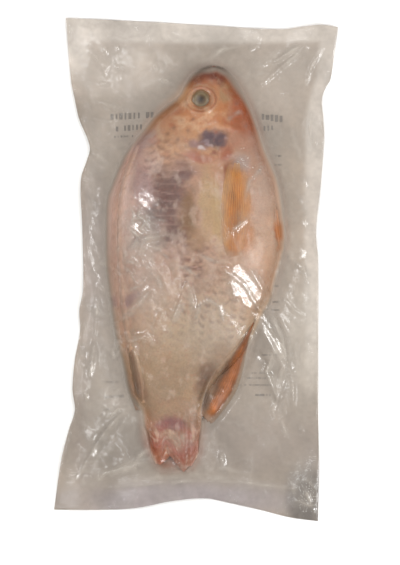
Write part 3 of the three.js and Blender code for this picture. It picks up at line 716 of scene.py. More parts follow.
def scalePattern(x, y):
    # overlapping scales: 0 just behind the scale in front, 1 at a scale's own rear edge
    lean = scaleRows["lean"] * easeStep(-y, -40, 60)
    a = (-y - lean * x + 1.2 * mottle(x, y, 30, 3)) / scaleRows["along"]
    b = (x - 0.10 * y + 1.0 * mottle(x, y, 26, 4)) / scaleRows["across"]
    row = np.floor(b)
    offset = a + 0.5 * (row % 2)
    arc = 0.9 * (2 * (b - row - 0.5)) ** 2 * 0.45
    return fraction(offset - arc), chanceOf(row * 12.9898 + np.floor(offset) * 78.233)


def pigmentMarks(x, y, width, pitch, lean, seed):
    # short arcs in slanted rows, each with a place and a strength of its own, as scale pockets show through
    wx = x - 0.14 * y + 0.25 * width * mottle(x, y, 9, seed, 2)
    wy = -y - lean * x + 0.35 * pitch * mottle(x, y, 8, seed + 3, 2)
    column = np.floor(wx / width)
    u = wx / width - column - 0.5
    row = wy / pitch + 1.9 * u ** 2 + chanceOf(column * 91.17 + seed)
    index = np.floor(row)
    chance = chanceOf(column * 12.9898 + index * 78.233 + seed)
    aside = 0.5 * (chanceOf(column * 37.719 + index * 11.135 + seed, 24634.6345) - 0.5)
    mark = bell(row - index - 0.5, 0.24) * (1 - easeStep(np.abs(u + aside), 0.16, 0.46))
    return mark * (0.15 + 0.85 * chance)


# how far the torn end of the tail lies in from the full outline
tailTear = smoothCurve([
    [-31.5, 17], [-28.5, 6.5], [-25, 3.6], [-22.8, 4], [-19.8, 10.7], [-17, 8.5], [-13, 3], [-9, -1],
    [-5.5, 0.5], [-2, 4], [1, 8.4], [3.5, 17]])

bruisePath = [(-19.1, 73.6), (-20.5, 53.8), (-23.1, 38.0), (-15.2, 20.8), (-3.3, 3.6)]
eyeFolds = [(7.0, 1.0, "#93694e", 0.7), (8.9, 0.7, "#6e3519", 0.65), (10.3, 0.9, "#9a7052", 0.5)]


def fishTint(x, y, scaled):
    tint = skinTint(x, y)
    # pigment shows where a scale comes out from under the next: broad in the bruise, small behind it
    fromBruise, _ = nearest(bruisePath, x, y)
    bruise = easeStep(1.25 - fromBruise / 15 + 0.75 * mottle(x, y, 8, 125, 4), 0, 0.95)
    rear = np.exp(-(((x - 16) / 22) ** 2 + ((y + 26) / 26) ** 2))
    rear = rear + 0.4 * np.exp(-(((x + 6) / 26) ** 2 + ((y + 8) / 34) ** 2))
    bandAt = fraction((-y - 0.1 * x + 3.2 * mottle(x, y, 12, 121, 2)) / scaleRows["along"])
    broken = easeStep(mottle(x * 0.8, y * 1.6, 9, 123, 2), -0.5, 0.3)
    band = bell(bandAt - 0.45, 0.22) * broken
    small = pigmentMarks(x, y, 6.4, 5.0, 0.45, 151) + 0.7 * pigmentMarks(x + 2, y + 1.2, 8.2, 5.0, 0.5, 161)
    broad = np.maximum(pigmentMarks(x, y, 12, 5.2, 0.14, 131),
                       pigmentMarks(x + 5.3, y + 1.9, 10.4, 5.6, 0.1, 137))
    pocket = 0.1 * bruise * band + 0.85 * bruise * broad + (0.5 * rear + 0.08) * small
    tint = paint(tint, np.clip(pocket, 0, 0.8) * scaled, "#481b10")
    # pale skin shows at the scales' own edges between the marks
    gap = (0.16 * bruise + 0.12 * rear) * bell(bandAt - 0.95, 0.15) * (0.4 + 0.6 * broken)
    tint = paint(tint, gap * scaled, "#b8988c")
    # orange fold of skin round the eye
    oval = np.hypot((x - eyeAt[0]) / 1.1, (y - eyeAt[1]) / 0.92)
    for radius, width, hexColour, strength in eyeFolds:
        tint = paint(tint, strength * bell(oval - radius, width), hexColour)
    tint = paint(tint, 0.25 * easeStep(mottle(x, y, 1.7, 91, 2), 0.42, 0.62), "#8b5a48")
    uneven = (0.12 + 0.16 * easeStep(-y, 90, 104)) * mottle(x, y, 6, 101)
    tint = shade(tint, uneven)
    # the tail's web: red and frosted streaks along its rays
    onTail = easeStep(-y, 99, 109)
    rays = mottle(x + 0.12 * y, 0.5 * y, 3.0, 191, 4)
    for sign, hexColour in ((1, "#b29480"), (-1, "#7c3822")):
        tint = paint(tint, 0.55 * easeStep(sign * rays, 0.05, 0.5) * onTail, hexColour)
    # frost and bloodshot streaks that lie along the body
    onHead = easeStep(y, 70, 92)
    streak = mottle(x + 0.2 * y, y * 0.7 - 0.2 * x, 5.5, 171, 4)
    tint = paint(tint, 0.3 * easeStep(streak, 0.1, 0.55) * (1 - 0.7 * onHead), "#b5a091")
    red = 0.4 * easeStep(-mottle(x, y, 6.5, 181, 4), 0.1, 0.5) * (0.15 + 0.85 * onHead)
    tint = paint(tint, red, "#8a4424")
    beige = 0.5 * easeStep(mottle(x, y, 8, 185, 4), 0.05, 0.45) * onHead * (1 - easeStep(x, 14, 24))
    tint = paint(tint, beige, "#b29172")
    rimShare = np.minimum(x - bodyBack(y), bodyBelly(y) - x)
    rimShare = np.minimum(rimShare, np.minimum(y - tailEndY, (snoutY - y) * 1.5)) + 1.2 * mottle(x, y, 8, 111)
    # the steep rim gets less light than it does in the photo
    steep = (1 - easeStep(rimShare, 0, 6)) * (1 - easeStep(-y, 96, 112))
    return shade(tint, 0.5 * steep)


def makeFish(material):
    sizes = dict(rows=372, topCells=168, lowCells=52, firstTurn=0.06, skinDepth=0.7, solidTailY=-119)
    turn = np.pi * np.linspace(sizes["firstTurn"], 1 - sizes["firstTurn"], sizes["rows"])[:, None]
    inner = 0.5 - 0.5 * math.cos(np.pi * sizes["firstTurn"])
    y = tailEndY + 0.3 + (snoutY - tailEndY - 0.6) * (0.5 - 0.5 * np.cos(turn) - inner) / (1 - 2 * inner)
    angleTop = np.linspace(0, np.pi, sizes["topCells"], endpoint=False)
    angleLow = np.linspace(np.pi, 2 * np.pi, sizes["lowCells"], endpoint=False)
    # points are spread evenly over the flank, closer only at the two edges
    shareTop = (angleTop / np.pi) * 0.7 + (0.5 - 0.5 * np.cos(angleTop)) * 0.3
    shareLow = 1 - (angleLow / np.pi - 1)
    share = np.concatenate((shareTop, shareLow))[None, :]
    upper = np.concatenate((np.ones_like(shareTop), -np.ones_like(shareLow)))[None, :]
    widthY = np.maximum(y, sizes["solidTailY"])
    inset = np.minimum(0.8, 0.1 * (bodyBelly(widthY) - bodyBack(widthY)))
    back, belly = bodyBack(widthY) + inset, bodyBelly(widthY) - inset
    x = back * (1 - share) + belly * share
    y = y + 0 * x
    profile = sectionProfile(x, back, belly)
    top = middleHeight(y) + (halfThickness(y) - sizes["skinDepth"]) * profile
    top = top + headRelief(x, y) * easeStep(profile, 0.1, 0.5)
    top = top - 2.2 * (1 - easeStep(eyeDistance(x, y), eyeIris - 0.6, eyeIris + 1.4))
    behindEdge, chance = scalePattern(x, y)
    scaled = easeStep(110 - y - 0.35 * (x + 10), 0, 26) * easeStep(profile, 0.15, 0.5)
    scaled = scaled * easeStep(y, -112, -92)
    relief = scaleRows["rise"] * (behindEdge - 0.5) * scaled * (0.7 + 0.6 * chance)
    tailRays = 0.07 * np.cos(2 * np.pi * (11 * share + 0.6 * mottle(x, y, 12, 55))) * easeStep(-y, 94, 108)
    flesh = 0.35 * mottle(x, y, 14, 61) + 0.12 * mottle(x, y, 3.2, 71, 2)
    flesh = flesh + 0.5 * mottle(x, y, 5, 66, 2) * easeStep(-y, 100, 112)
    top = top + relief + (tailRays + flesh) * easeStep(profile, 0.1, 0.5)
    low = np.maximum(middleHeight(y) - (belowShare * halfThickness(y) - 0.6) * profile, 0.7)
    # the tail is torn: a notch between two lobes and a ragged end
    torn = tailTear(x) + 1.3 * mottle(x, 0 * y, 2.6, 77, 2)
    vertices = gridPoints(x, y + torn * easeStep(-y, 98, 132), np.where(upper > 0, top, low))
    # round caps at the tail and the snout
    rows, columns = x.shape
    tailCap, snoutCap = len(vertices), len(vertices) + 1
    vertices = np.concatenate((vertices, [vertices[:columns].mean(0) + (0, 6, 0)],
                               [vertices[-columns:].mean(0) + (0, 0.5, 0)]))
    faces = gridFaces(rows, columns, wrap=True).tolist()
    lastRow = (rows - 1) * columns
    following = [(k, (k + 1) % columns) for k in range(columns)]
    faces += [(b, a, tailCap) for a, b in following]
    faces += [(a + lastRow, b + lastRow, snoutCap) for a, b in following]
    tint = np.clip(fishTint(x, y, scaled).reshape(-1, 3), 0, 1)
    tint = np.concatenate((tint, tint[:1], tint[-1:]))
    keep(makeMesh("fishBody", vertices, faces, material, {"skinTint": tint}), "fish_skin")


def makeEye(material):
    # ball behind the film: cloudy iris, dark slit of pupil, pale rim
    eye = dict(rings=26, sides=48, rise=1.7, depth=1.2, sunk=1.6)
    irisRings = [(0, 2.5, "#1d1611", 0.97), (3.9, 0.7, "#6d6147", 0.6), (5.3, 0.7, "#5a4730", 0.5),
                 (6.4, 0.8, "#8f6a45", 0.8)]
    height = float(bodyTop(np.array(eyeAt[0]), np.array(eyeAt[1]))) - eye["sunk"]
    radii = np.linspace(0, eyeIris + 0.9, eye["rings"])[1:, None]
    angle = np.linspace(0, 2 * np.pi, eye["sides"], endpoint=False)[None, :]
    dome = eye["rise"] * np.sqrt(np.clip(1 - (radii / (eyeIris + 1)) ** 2, 0, 1)) + 0 * angle
    ball = gridPoints(eyeAt[0] + radii * np.cos(angle), eyeAt[1] + radii * np.sin(angle), height + dome)
    vertices = np.concatenate(([(*eyeAt, height + eye["rise"])], ball, [(*eyeAt, height - eye["depth"])]))
    n, last = eye["sides"], len(vertices) - 1
    following = [(k, (k + 1) % n) for k in range(n)]
    faces = [(0, 1 + a, 1 + b) for a, b in following]
    faces += (gridFaces(len(radii), n, wrap=True)[:, ::-1] + 1).tolist()
    faces += [(last - n + a, last, last - n + b) for a, b in following]
    fromMiddle = eyeDistance(vertices[:, 0], vertices[:, 1])
    turn = np.arctan2(vertices[:, 1] - eyeAt[1], vertices[:, 0] - eyeAt[0])
    rays = 0.5 + 0.5 * np.sin(turn * 17 + 2 * np.sin(turn * 5))
    tint = linear("#5c4833") * (0.75 + 0.35 * rays[:, None])
    for radius, width, hexColour, strength in irisRings:
        tint = paint(tint, strength * bell(fromMiddle - radius, width), hexColour)
    keep(makeMesh("fishEye", vertices, faces, material, {"skinTint": tint}), "fish_eye")


# repeated parts by Geometry Nodes

def newNodeGroup(name, **inputs):
    # a tree with named inputs: whole numbers become integer sockets, others float sockets
    group = bpy.data.node_groups.new(name, "GeometryNodeTree")
    group.interface.new_socket("Geometry", in_out="INPUT", socket_type="NodeSocketGeometry")
    for inputName, value in inputs.items():
        kind = "NodeSocketInt" if isinstance(value, int) else "NodeSocketFloat"
        socket = group.interface.new_socket(inputName.replace("_", " "), in_out="INPUT", socket_type=kind)
        socket.default_value = value
    group.interface.new_socket("Geometry", in_out="OUTPUT", socket_type="NodeSocketGeometry")
    return group, addNode(group, "NodeGroupInput").outputs


def finishNodeGroup(group, geometry, material):
    real = addNode(group, "GeometryNodeRealizeInstances", [(geometry, "Geometry")])
    dressed = addNode(group, "GeometryNodeSetMaterial", [(real, "Geometry")],
                      in_Material=material)
    addNode(group, "NodeGroupOutput", [(dressed, "Geometry")])
    return group


def randomSize(group, low, high, links=(), **settings):
    return addNode(group, "FunctionNodeRandomValue", links, data_type="FLOAT", in_2=low, in_3=high,
                   **settings).outputs[1]


def applyNodeGroup(name, base, group, values, slotName):
    # run the tree on the base mesh and keep its result as a plain mesh
    modifier = base.modifiers.new(group.name, "NODES")
    modifier.node_group = group
    for socket in group.interface.items_tree:
        if socket.item_type == "SOCKET" and socket.in_out == "INPUT" and socket.name in values:
            modifier[socket.identifier] = values[socket.name]
    bpy.context.view_layer.update()
    evaluated = base.evaluated_get(bpy.context.evaluated_depsgraph_get())
    mesh = bpy.data.meshes.new_from_object(evaluated)
    mesh.name = name
    baseMesh = base.data
    bpy.data.objects.remove(base)
    bpy.data.meshes.remove(baseMesh)
    return keep(linkItem(name, mesh), slotName)


def pathMesh(name, paths):
    edges, start = [], 0
    for path in paths:
        edges += [(start + k, start + k + 1) for k in range(len(path) - 1)]
        start += len(path)
    return makeMesh(name, np.concatenate(paths), [], None, edges=edges)


def rayTree(material):
    # thin tapering rods along each path, for fin rays and spines
    group, source = newNodeGroup("finRays", Root_radius=0.0006, Tip_share=0.35, Sides=6)
    curve = addNode(group, "GeometryNodeMeshToCurve", [(source["Geometry"], "Mesh")])
    along = addNode(group, "GeometryNodeSplineParameter")
    taper = addNode(group, "ShaderNodeMapRange",
                    [(along, "Value"), (source["Tip share"], "To Max")], in_To_Min=1.0)
    profile = addNode(group, "GeometryNodeCurvePrimitiveCircle",
                      [(source["Sides"], "Resolution"), (source["Root radius"], "Radius")])
    tapered = addNode(group, "GeometryNodeSetCurveRadius",
                      [(curve, "Curve"), (taper, "Radius")])
    sweep = addNode(group, "GeometryNodeCurveToMesh",
                    [(tapered, "Curve"), (profile, "Profile Curve")],
                    in_Fill_Caps=True)
    if "Scale" in sweep.inputs:
        group.links.new(taper.outputs["Result"], sweep.inputs["Scale"])
    return finishNodeGroup(group, sweep, material)


def barTree(material):
    # short printed bars of uneven length along each line, with gaps between words
    group, source = newNodeGroup("printedBars", Pitch=0.0016, Bar_length=0.0011, Bar_height=0.0016,
                                 Word_share=0.8, Seed=4)
    curve = addNode(group, "GeometryNodeMeshToCurve", [(source["Geometry"], "Mesh")])
    spaced = addNode(group, "GeometryNodeResampleCurve",
                     [(curve, "Curve"), (source["Pitch"], "Length")], mode="LENGTH")
    width = randomSize(group, 0.35, 1.0, [(source["Seed"], "Seed")])
    height = randomSize(group, 0.55, 1.0, in_Seed=11)
    shown = addNode(group, "FunctionNodeRandomValue",
                    [(source["Word share"], "Probability"), (source["Seed"], "Seed")], data_type="BOOLEAN")
    bar = addNode(group, "GeometryNodeMeshGrid",
                  [(source["Bar length"], "Size X"), (source["Bar height"], "Size Y")],
                  in_Vertices_X=2, in_Vertices_Y=2)
    size = addNode(group, "ShaderNodeCombineXYZ", [(width, "X"), (height, "Y")], in_Z=1.0)
    bars = addNode(group, "GeometryNodeInstanceOnPoints", [
        (spaced, "Points"), (shown.outputs[3], "Selection"),
        (bar, "Instance"), (size, "Scale")])
    return finishNodeGroup(group, bars, material)


def crumbTree(material):
    # grains of frost scattered over a sheet where its weight says so
    group, source = newNodeGroup("frostGrains", Density=300000.0, Grain=0.0005, Seed=7)
    weight = addNode(group, "GeometryNodeInputNamedAttribute", data_type="FLOAT", in_Name="frostWeight")
    density = addNode(group, "ShaderNodeMath", [(weight.outputs["Attribute"], 0), (source["Density"], 1)],
                      operation="MULTIPLY")
    scatter = addNode(group, "GeometryNodeDistributePointsOnFaces", [
        (source["Geometry"], "Mesh"), (density, "Density"), (source["Seed"], "Seed")])
    size = randomSize(group, 0.4, 1.3, in_Seed=3)
    grain = addNode(group, "GeometryNodeMeshIcoSphere", [(source["Grain"], "Radius")], in_Subdivisions=1)
    grains = addNode(group, "GeometryNodeInstanceOnPoints", [
        (scatter, "Points"), (grain, "Instance"), (size, "Scale")])
    return finishNodeGroup(group, grains, material)


# fins

def underFin(x, y, clearance):
    # height of what a fin lies on: the body, or the film beside it
    toFish, _ = toBody(x, y)
    body = np.where(flankProfile(x, y) > 0, bodyTop(x, y), 0)
    return roundedMax(body, rimMiddle(x, y, toFish) + clearance, 2.5)


def leafSurface(fin, along, across):
    root, axis, length = leafAxes(fin)
    reach = leafReach(fin, along)
    x = root[0] + axis[0] * length * along + axis[1] * reach * across
    y = root[1] + axis[1] * length * along - axis[0] * reach * across
    swell = (1 - np.abs(across) ** 2.4) * easeStep(along, -0.02, 0.12) * (1 - easeStep(along, 0.85, 1.0))
    return x, y, underFin(x, y, 0.9) - 1.2 + (0.75 * fin["rise"] + 1.1) * swell


def dorsalSurface(y, share):
    # share runs from the fin's outer edge, 0, onto the back, 1
    x = dorsalEdge(y) * (1 - share) + (bodyBack(y) + 6) * share
    rise = easeStep(share, -0.1, 0.2) * (1 - easeStep(share, 0.25, 1.0))
    return x, underFin(x, y, 0.6) - 1.7 + 2.9 * rise


def makeWeb(name, x, y, z, thickness, tint, material):
    # upper sheet, lower sheet and the walls between their rims
    rows, columns = x.shape
    count = rows * columns
    rim = list(range(columns))
    rim += [r * columns + columns - 1 for r in range(1, rows)]
    rim += [(rows - 1) * columns + c for c in range(columns - 2, -1, -1)]
    rim += [r * columns for r in range(rows - 2, 0, -1)]
    walls = [(a, a + count, b + count, b) for a, b in zip(rim, rim[1:] + rim[:1])]
    top = gridFaces(rows, columns)
    item = makeMesh(name, np.concatenate((gridPoints(x, y, z), gridPoints(x, y, z - thickness))),
                    np.concatenate((top, top[:, ::-1] + count, np.array(walls))), material,
                    {"skinTint": np.concatenate((tint, tint)).reshape(-1, 3)})
    work = bmesh.new()
    work.from_mesh(item.data)
    bmesh.ops.recalc_face_normals(work, faces=work.faces)
    work.to_mesh(item.data)
    work.free()
    item.data.polygons.foreach_set("use_smooth", [True] * len(item.data.polygons))
    item.data.update()
    keep(item, "fish_fin")


def unitGrid(rows, columns, low):
    # rows from 0 to 1, columns from low to 1
    down = np.linspace(0, 1, rows)[:, None] + np.zeros((1, columns))
    return down, np.linspace(low, 1, columns)[None, :] + np.zeros((rows, 1))


leafWeb = dict(rows=90, columns=34, thickness=0.8, ragged=0.05, rodPoints=30)


def makeLeafFin(name, material, rayGroup, look):
    fin = finShapes[name]
    along, across = unitGrid(leafWeb["rows"], leafWeb["columns"], -1)
    ragged = leafWeb["ragged"] * (0.5 + 0.5 * mottle(across * 12, 0 * across, 3, 45))
    x, y, z = leafSurface(fin, along * (1 - ragged * easeStep(along, 0.5, 1)), across)
    fan = np.cos(np.pi * look["rays"] * 1.6 * across + 0.8 * mottle(x, y, 12, 43))
    z = z + 0.08 * fan + 0.2 * mottle(x, y, 5, 41)
    # one colour along the middle, another along the sides, melting into the skin at the rim
    frayed = across + 0.12 * mottle(x, y, 5, 53)
    blend = look["cover"] * (1 - easeStep(frayed, look["fade"][0], 1))
    blend = blend * (1 - easeStep(-frayed, look["fade"][1], 1))
    blend = blend * easeStep(along, 0, 0.15) * (1 - 0.8 * easeStep(along, 0.85, 1))
    heart = 1 - easeStep(np.abs(across + look["heart"] + 0.25 * mottle(x, y, 9, 47)), 0.1, 0.8)
    own = paint(linear(look["side"]), heart, look["middle"])
    own = shade(shade(own, 0.16 * fan), 0.5 * mottle(x, 0.4 * y, 4, 49))
    makeWeb(name, x, y, z, leafWeb["thickness"], paint(skinTint(x, y), blend, own), material)
    paths = []
    for k in range(look["rays"]):
        share = -0.8 + 1.6 * k / (look["rays"] - 1)
        t = np.linspace(0.03, 0.8 + 0.12 * math.sin(5 * k), leafWeb["rodPoints"])
        px, py, pz = leafSurface(fin, t, share * (0.3 + 0.7 * t))
        paths.append(gridPoints(px, py, pz + 0.05))
    applyNodeGroup(name + "Rays", pathMesh(name + "Paths", paths), rayGroup,
                   {"Root radius": look["rod"], "Tip share": 0.4}, "fish_fin")


def makeDorsalFin(material, rayGroup):
    fin = dict(start=82, end=-88, spines=17, firstSpine=74, pitch=9.2, thickness=0.9)
    down, share = unitGrid(260, 18, 0)
    y = fin["end"] + (fin["start"] - fin["end"]) * down
    x, z = dorsalSurface(y, share)
    x = x + (0.9 - 0.8 * np.abs(np.sin(np.pi * (y + 3) / fin["pitch"])) ** 0.7) * (1 - share)
    z = z + 0.16 * np.cos(2 * np.pi * (y + 0.8 * (x - dorsalEdge(y))) / fin["pitch"])
    own = shade(linear("#cda792"), 0.15 * mottle(x, y, 10, 33))
    own = paint(own, 0.6 * easeStep(-y, 0, 70), "#c29064")
    tint = paint(skinTint(x, y), 0.85 * (1 - easeStep(share, 0.3, 1.0)), own)
    makeWeb("dorsalFin", x, y, z, fin["thickness"], tint, material)
    t = np.linspace(0, 1, 12)
    paths = []
    for k in range(fin["spines"]):
        ys = fin["firstSpine"] - fin["pitch"] * k - 10 * t
        xs, zs = dorsalSurface(ys, 0.85 - 0.8 * t)
        paths.append(gridPoints(xs + 0.6, ys, zs - 0.1))
    applyNodeGroup("dorsalSpines", pathMesh("spinePaths", paths), rayGroup,
                   {"Root radius": 0.00045, "Tip share": 0.35}, "fish_fin")


# film

def pouchGrid(columns, rows):
    # even grid over the pouch's own wavy outline, and its distance from the border as a share
    u = np.linspace(0, 1, columns)[None, :]
    v = np.linspace(0, 1, rows)[:, None]
    x = (leftEdge(0) * (1 - u) + rightEdge(0) * u) + 0 * v
    for _ in range(5):
        y = bottomEdge(x) * (1 - v) + topEdge(x) * v
        x = leftEdge(y) * (1 - u) + rightEdge(y) * u
    return x, y, np.minimum(np.minimum(u, 1 - u), np.minimum(v, 1 - v))


def inwardTint(x, y, inset):
    # the colour of the nearest skin that lies well inside the fish's outline
    inwardX = np.clip(x, bodyBack(y) + inset, np.maximum(bodyBelly(y) - inset, bodyBack(y) + inset))
    return skinTint(inwardX, np.clip(y, tailEndY + inset, snoutY - inset))


backAreas = [  # centre, radii, colour, strength
    (-56.8, 138.3, 40, 26, "#aea297", 0.8), (62.0, 131.7, 40, 30, "#9f9286", 0.6),
    (-68.6, 6.3, 14, 60, "#82766e", 0.8), (66.0, 32.7, 16, 60, "#a39281", 0.6),
    (72.6, -46.5, 16, 50, "#aaa094", 0.8), (29.0, -115.8, 60, 24, "#776b62", 0.8),
    (-56.8, -115.8, 40, 24, "#675c52", 0.85), (-30.4, 104.0, 16, 14, "#8a8076", 0.6),
    (-10.6, -152.1, 80, 14, "#82797a", 0.8), (73.9, -150.8, 16, 26, "#453e3a", 0.95),
    # painted shadow: the first, dark brown spot on the line below sits in the gap between the belly and the
    # anal fin
    (14.5, -83.5, 7, 12, "#6d4a34", 0.5), (-73.9, -99.3, 8, 60, "#7d7065", 0.7),
]


def makeBackFilm(material):
    x, y, fromBorder = pouchGrid(120, 210)
    z, toFish = filmBottom(x, y)
    z = np.where(fromBorder <= 0, rimMiddle(x, y, toFish) - 0.1, np.maximum(z + 0.1, 0.05))
    tint = linear("#877b6f") * np.ones(x.shape + (1,))
    wobble = 0.15 * mottle(x, y, 18, 51)
    for *place, hexColour, strength in backAreas:
        tint = paint(tint, strength * spot(x, y, place, 0.4, 1.3, wobble), hexColour)
    # juice and frost carry a blush of the fish's colour into the film beside it
    tint = paint(tint, 0.5 * bell(toFish, 3.2), 0.9 * inwardTint(x, y, 4))
    # the welded bands let the pale ground through, so they are lighter, most of all at the top and right
    upper = np.clip(easeStep(x, 20, 75) * easeStep(y, -110, 10) + easeStep(y, 120, 150), 0, 1)
    tint = paint(tint, (1 - pocketShare(x, y)) * (0.04 + 0.42 * upper), "#c4bdb5")
    # painted shade: the two facet terms lighten and darken the film in crisp patches, as its crinkles and
    # folds would be shaded; the mottle term is the film's own uneven tone
    cloudAndFoldShade = 0.10 * mottle(x, y, 26, 81) + 0.12 * facets(x, y, 19, 87) + 0.09 * facets(x, y, 8, 89)
    return keep(makeMesh("backFilm", gridPoints(x, y, z), gridFaces(*x.shape)[:, ::-1], material,
                         {"filmTint": shade(tint, cloudAndFoldShade).reshape(-1, 3)}), "back_film")


def filmDetail(x, y, toFish, aroundFish):
    # everything finer than the solid: creases, tension folds round the fish, crinkle
    detail = np.zeros(x.shape)
    for crease in largeCreases:
        detail += ridge(x, y, *crease)
    for crease in fineCreases:
        detail += ridge(x, y, *crease, floor=0.5)
    folds = np.sin(2 * np.pi * (aroundFish * 74 + 0.7 * mottle(x, y, 22, 201)))
    reach = bell(toFish - 6, 7) * easeStep(toFish, 0.2, 3)
    detail += 0.16 * folds * reach * (0.5 + 0.5 * mottle(x, y, 30, 203))
    loose = easeStep(toFish, 3, 14)
    detail += loose * (0.5 * facets(x, y, 12, 205) + 0.22 * facets(x, y, 5, 207))
    detail += (1 - loose) * (0.3 * facets(x, y, 10, 209) + 0.11 * facets(x, y, 4, 211))
    for face in pulledFaces:
        detail = detail * (1 - 0.6 * (1 - easeStep(pulledDistance(face, x, y), 0.6, 1.15)))
    return detail


milkAndSheenPlaces = [  # centre, radii, strength: where frost or trapped air whitens the film; at its bright spots this whitening is also painted highlight
    (30.4, 71.0, 8, 8, 0.14), (-35.6, 20.8, 18, 26, 0.26), (-30.4, -13.5, 14, 22, 0.14),
    (12.5, -39.9, 30, 30, 0.16), (32.3, -10.2, 14, 12, 0.22), (44.9, 59.1, 10, 30, 0.12),
    (54.1, -53.1, 10, 26, 0.16), (73.3, -145.5, 12, 22, 0.20), (-60.1, 131.7, 22, 20, 0.16),
    (62.0, 131.7, 26, 16, 0.12), (-66.7, -92.7, 12, 40, 0.12), (-11.9, -113.9, 14, 8, 0.10),
]
shinyPlaces = [  # centre, radii, strength: where the film is clear and taut, so that it mirrors the windows
    (34.3, -11.6, 17, 19, 1.0), (51.5, -56.4, 16, 40, 0.7), (-34.3, 34.0, 16, 26, 0.7),
    (-27.1, -20.1, 30, 40, 0.35), (29.0, 28.7, 9, 12, 0.7), (-60.1, 137.0, 22, 20, 0.6),
    (58.7, 135.0, 34, 24, 0.4), (73.3, -148.8, 12, 26, 0.6), (72.6, 39.3, 6, 70, 0.4),
    (7.9, -26.7, 20, 14, 0.4), (-68.6, -66.3, 12, 70, 0.4), (43.6, 59.1, 14, 40, 0.3),
    (-30.4, -46.5, 40, 10, 0.5), (-63.4, -112.5, 26, 40, 0.3), (17.2, -124.4, 5, 8, 0.5),
    (40.3, 8.9, 10, 13, -0.8), (-13.2, 48.5, 22, 36, -0.35), (11.2, -112.5, 8, 22, -0.5),
]


def filmHazeAndSheen(x, y, toFish):
    # frost lies in veins and clouds on the film's inner face; the veins, and the paler milk along folds,
    # along creases and at the film's bright spots, are also painted highlight
    fins = np.maximum.reduce([leafFinHeight(fin, x, y, 2) / fin["rise"] for fin in leafFins.values()])
    onFish = np.clip(1 - easeStep(toFish, 0, 6) + fins, 0, 1)
    veins = np.clip(1 - np.abs(mottle(x, y, 15, 305, 3)) * 5, 0, 1) ** 2
    haze = 0.03 + 0.13 * pocketShare(x, y) * (1 - onFish) + 0.05 * mottle(x, y, 16, 301) * (1 - 0.6 * onFish)
    haze = haze + (0.10 - 0.07 * onFish) * veins
    wobble = 0.3 * mottle(x, y, 8, 303)
    for *place, strength in milkAndSheenPlaces:
        haze = haze + strength * spot(x, y, place, 0.2, 1.2, wobble)
    patchy = easeStep(mottle(x, y, 7, 309), -0.5, 0.4)
    for fold in foldSheenStreaks:
        haze = haze + 0.24 * ridge(x, y, *fold, floor=0.5) * patchy
    # film whitens where it is creased, and this whitening is also painted highlight along the creases
    creased = [ridge(x, y, 1.0, *crease[1:]) for crease in fineCreases + largeCreases]
    return haze + 0.3 * np.maximum.reduce(creased) * easeStep(mottle(x, y, 9, 307), -0.6, 0.3)


def makeFrontFilm(material):
    x, y, fromBorder = pouchGrid(232, 412)
    z, toFish, aroundFish = filmTop(x, y)
    z = z + filmDetail(x, y, toFish, aroundFish) * easeStep(fromBorder, 0, 0.02)
    z = np.where(fromBorder <= 0, rimMiddle(x, y, toFish) + 0.15, z)
    # juice carries the fish's colour into the film along its outline, which blurs there
    fromOutline, _ = nearest(outlinePath, x, y)
    within = (y > tailEndY) & (y < snoutY) & (x > finnedBack(y)) & (x < bodyBelly(y))
    onSnout = easeStep(y, 98, 122) * easeStep(x, -4, 10)
    # the distance counts as further out at the snout, which fades before its real edge
    signed = np.where(within, -fromOutline, fromOutline) + 2.4 * onSnout
    analRelief = leafFinHeight(dict(finShapes["analFin"], lift=0), x, y, 2) / leafFins["analFin"]["rise"]
    analMask = np.clip(analRelief, 0, 1)
    overFin = easeStep(analMask, 0.05, 0.5)
    analEdge = 4 * analMask * (1 - analMask) * easeStep(signed, 0, 4)
    blur = np.where(signed > -0.6, 2.1 + 2.8 * onSnout, 3.4)
    outline = bell(signed + 0.6, blur) * (1 - overFin) * (1 - 0.7 * easeStep(-y, 96, 112))
    haze = filmHazeAndSheen(x, y, toFish) * (1 - 0.7 * overFin) + np.maximum(0.76 * outline, 0.4 * analEdge)
    # painted shade: along the outline and the anal fin's edge the milk takes the darker grey-brown tint, as
    # dark as the shaded film beside the fish
    milkTint = paint(linear("#b5aca1"), np.maximum(outline, analEdge), "#887d71")
    stained = 0.92 * (1 - easeStep(signed, -3.0, 1.2)) * easeStep(signed, -8, -4) * (1 - overFin)
    milkTint = paint(milkTint, stained, 1.12 * inwardTint(x, y, 5))
    shine = 0.3 + 0.25 * mottle(x, y, 13, 311)
    wobble = 0.25 * mottle(x, y, 7, 313)
    for *place, strength in shinyPlaces:
        shine = shine + strength * spot(x, y, place, 0.4, 1.1, wobble)
    awayFromFins = 1 - easeStep(-y, 10, 30) * (1 - easeStep(-y, 80, 90))
    besideFish = bell(signed - 2, 5) * awayFromFins
    shine = np.clip(shine * (1 - 0.8 * besideFish), 0.05, 1)
    return keep(makeMesh("frontFilm", gridPoints(x, y, z), gridFaces(*x.shape), material, {
        "haze": np.clip(haze, 0.02, 0.9).ravel(), "shine": shine.ravel(),
        "milkTint": milkTint.reshape(-1, 3)}), "pouch_film")


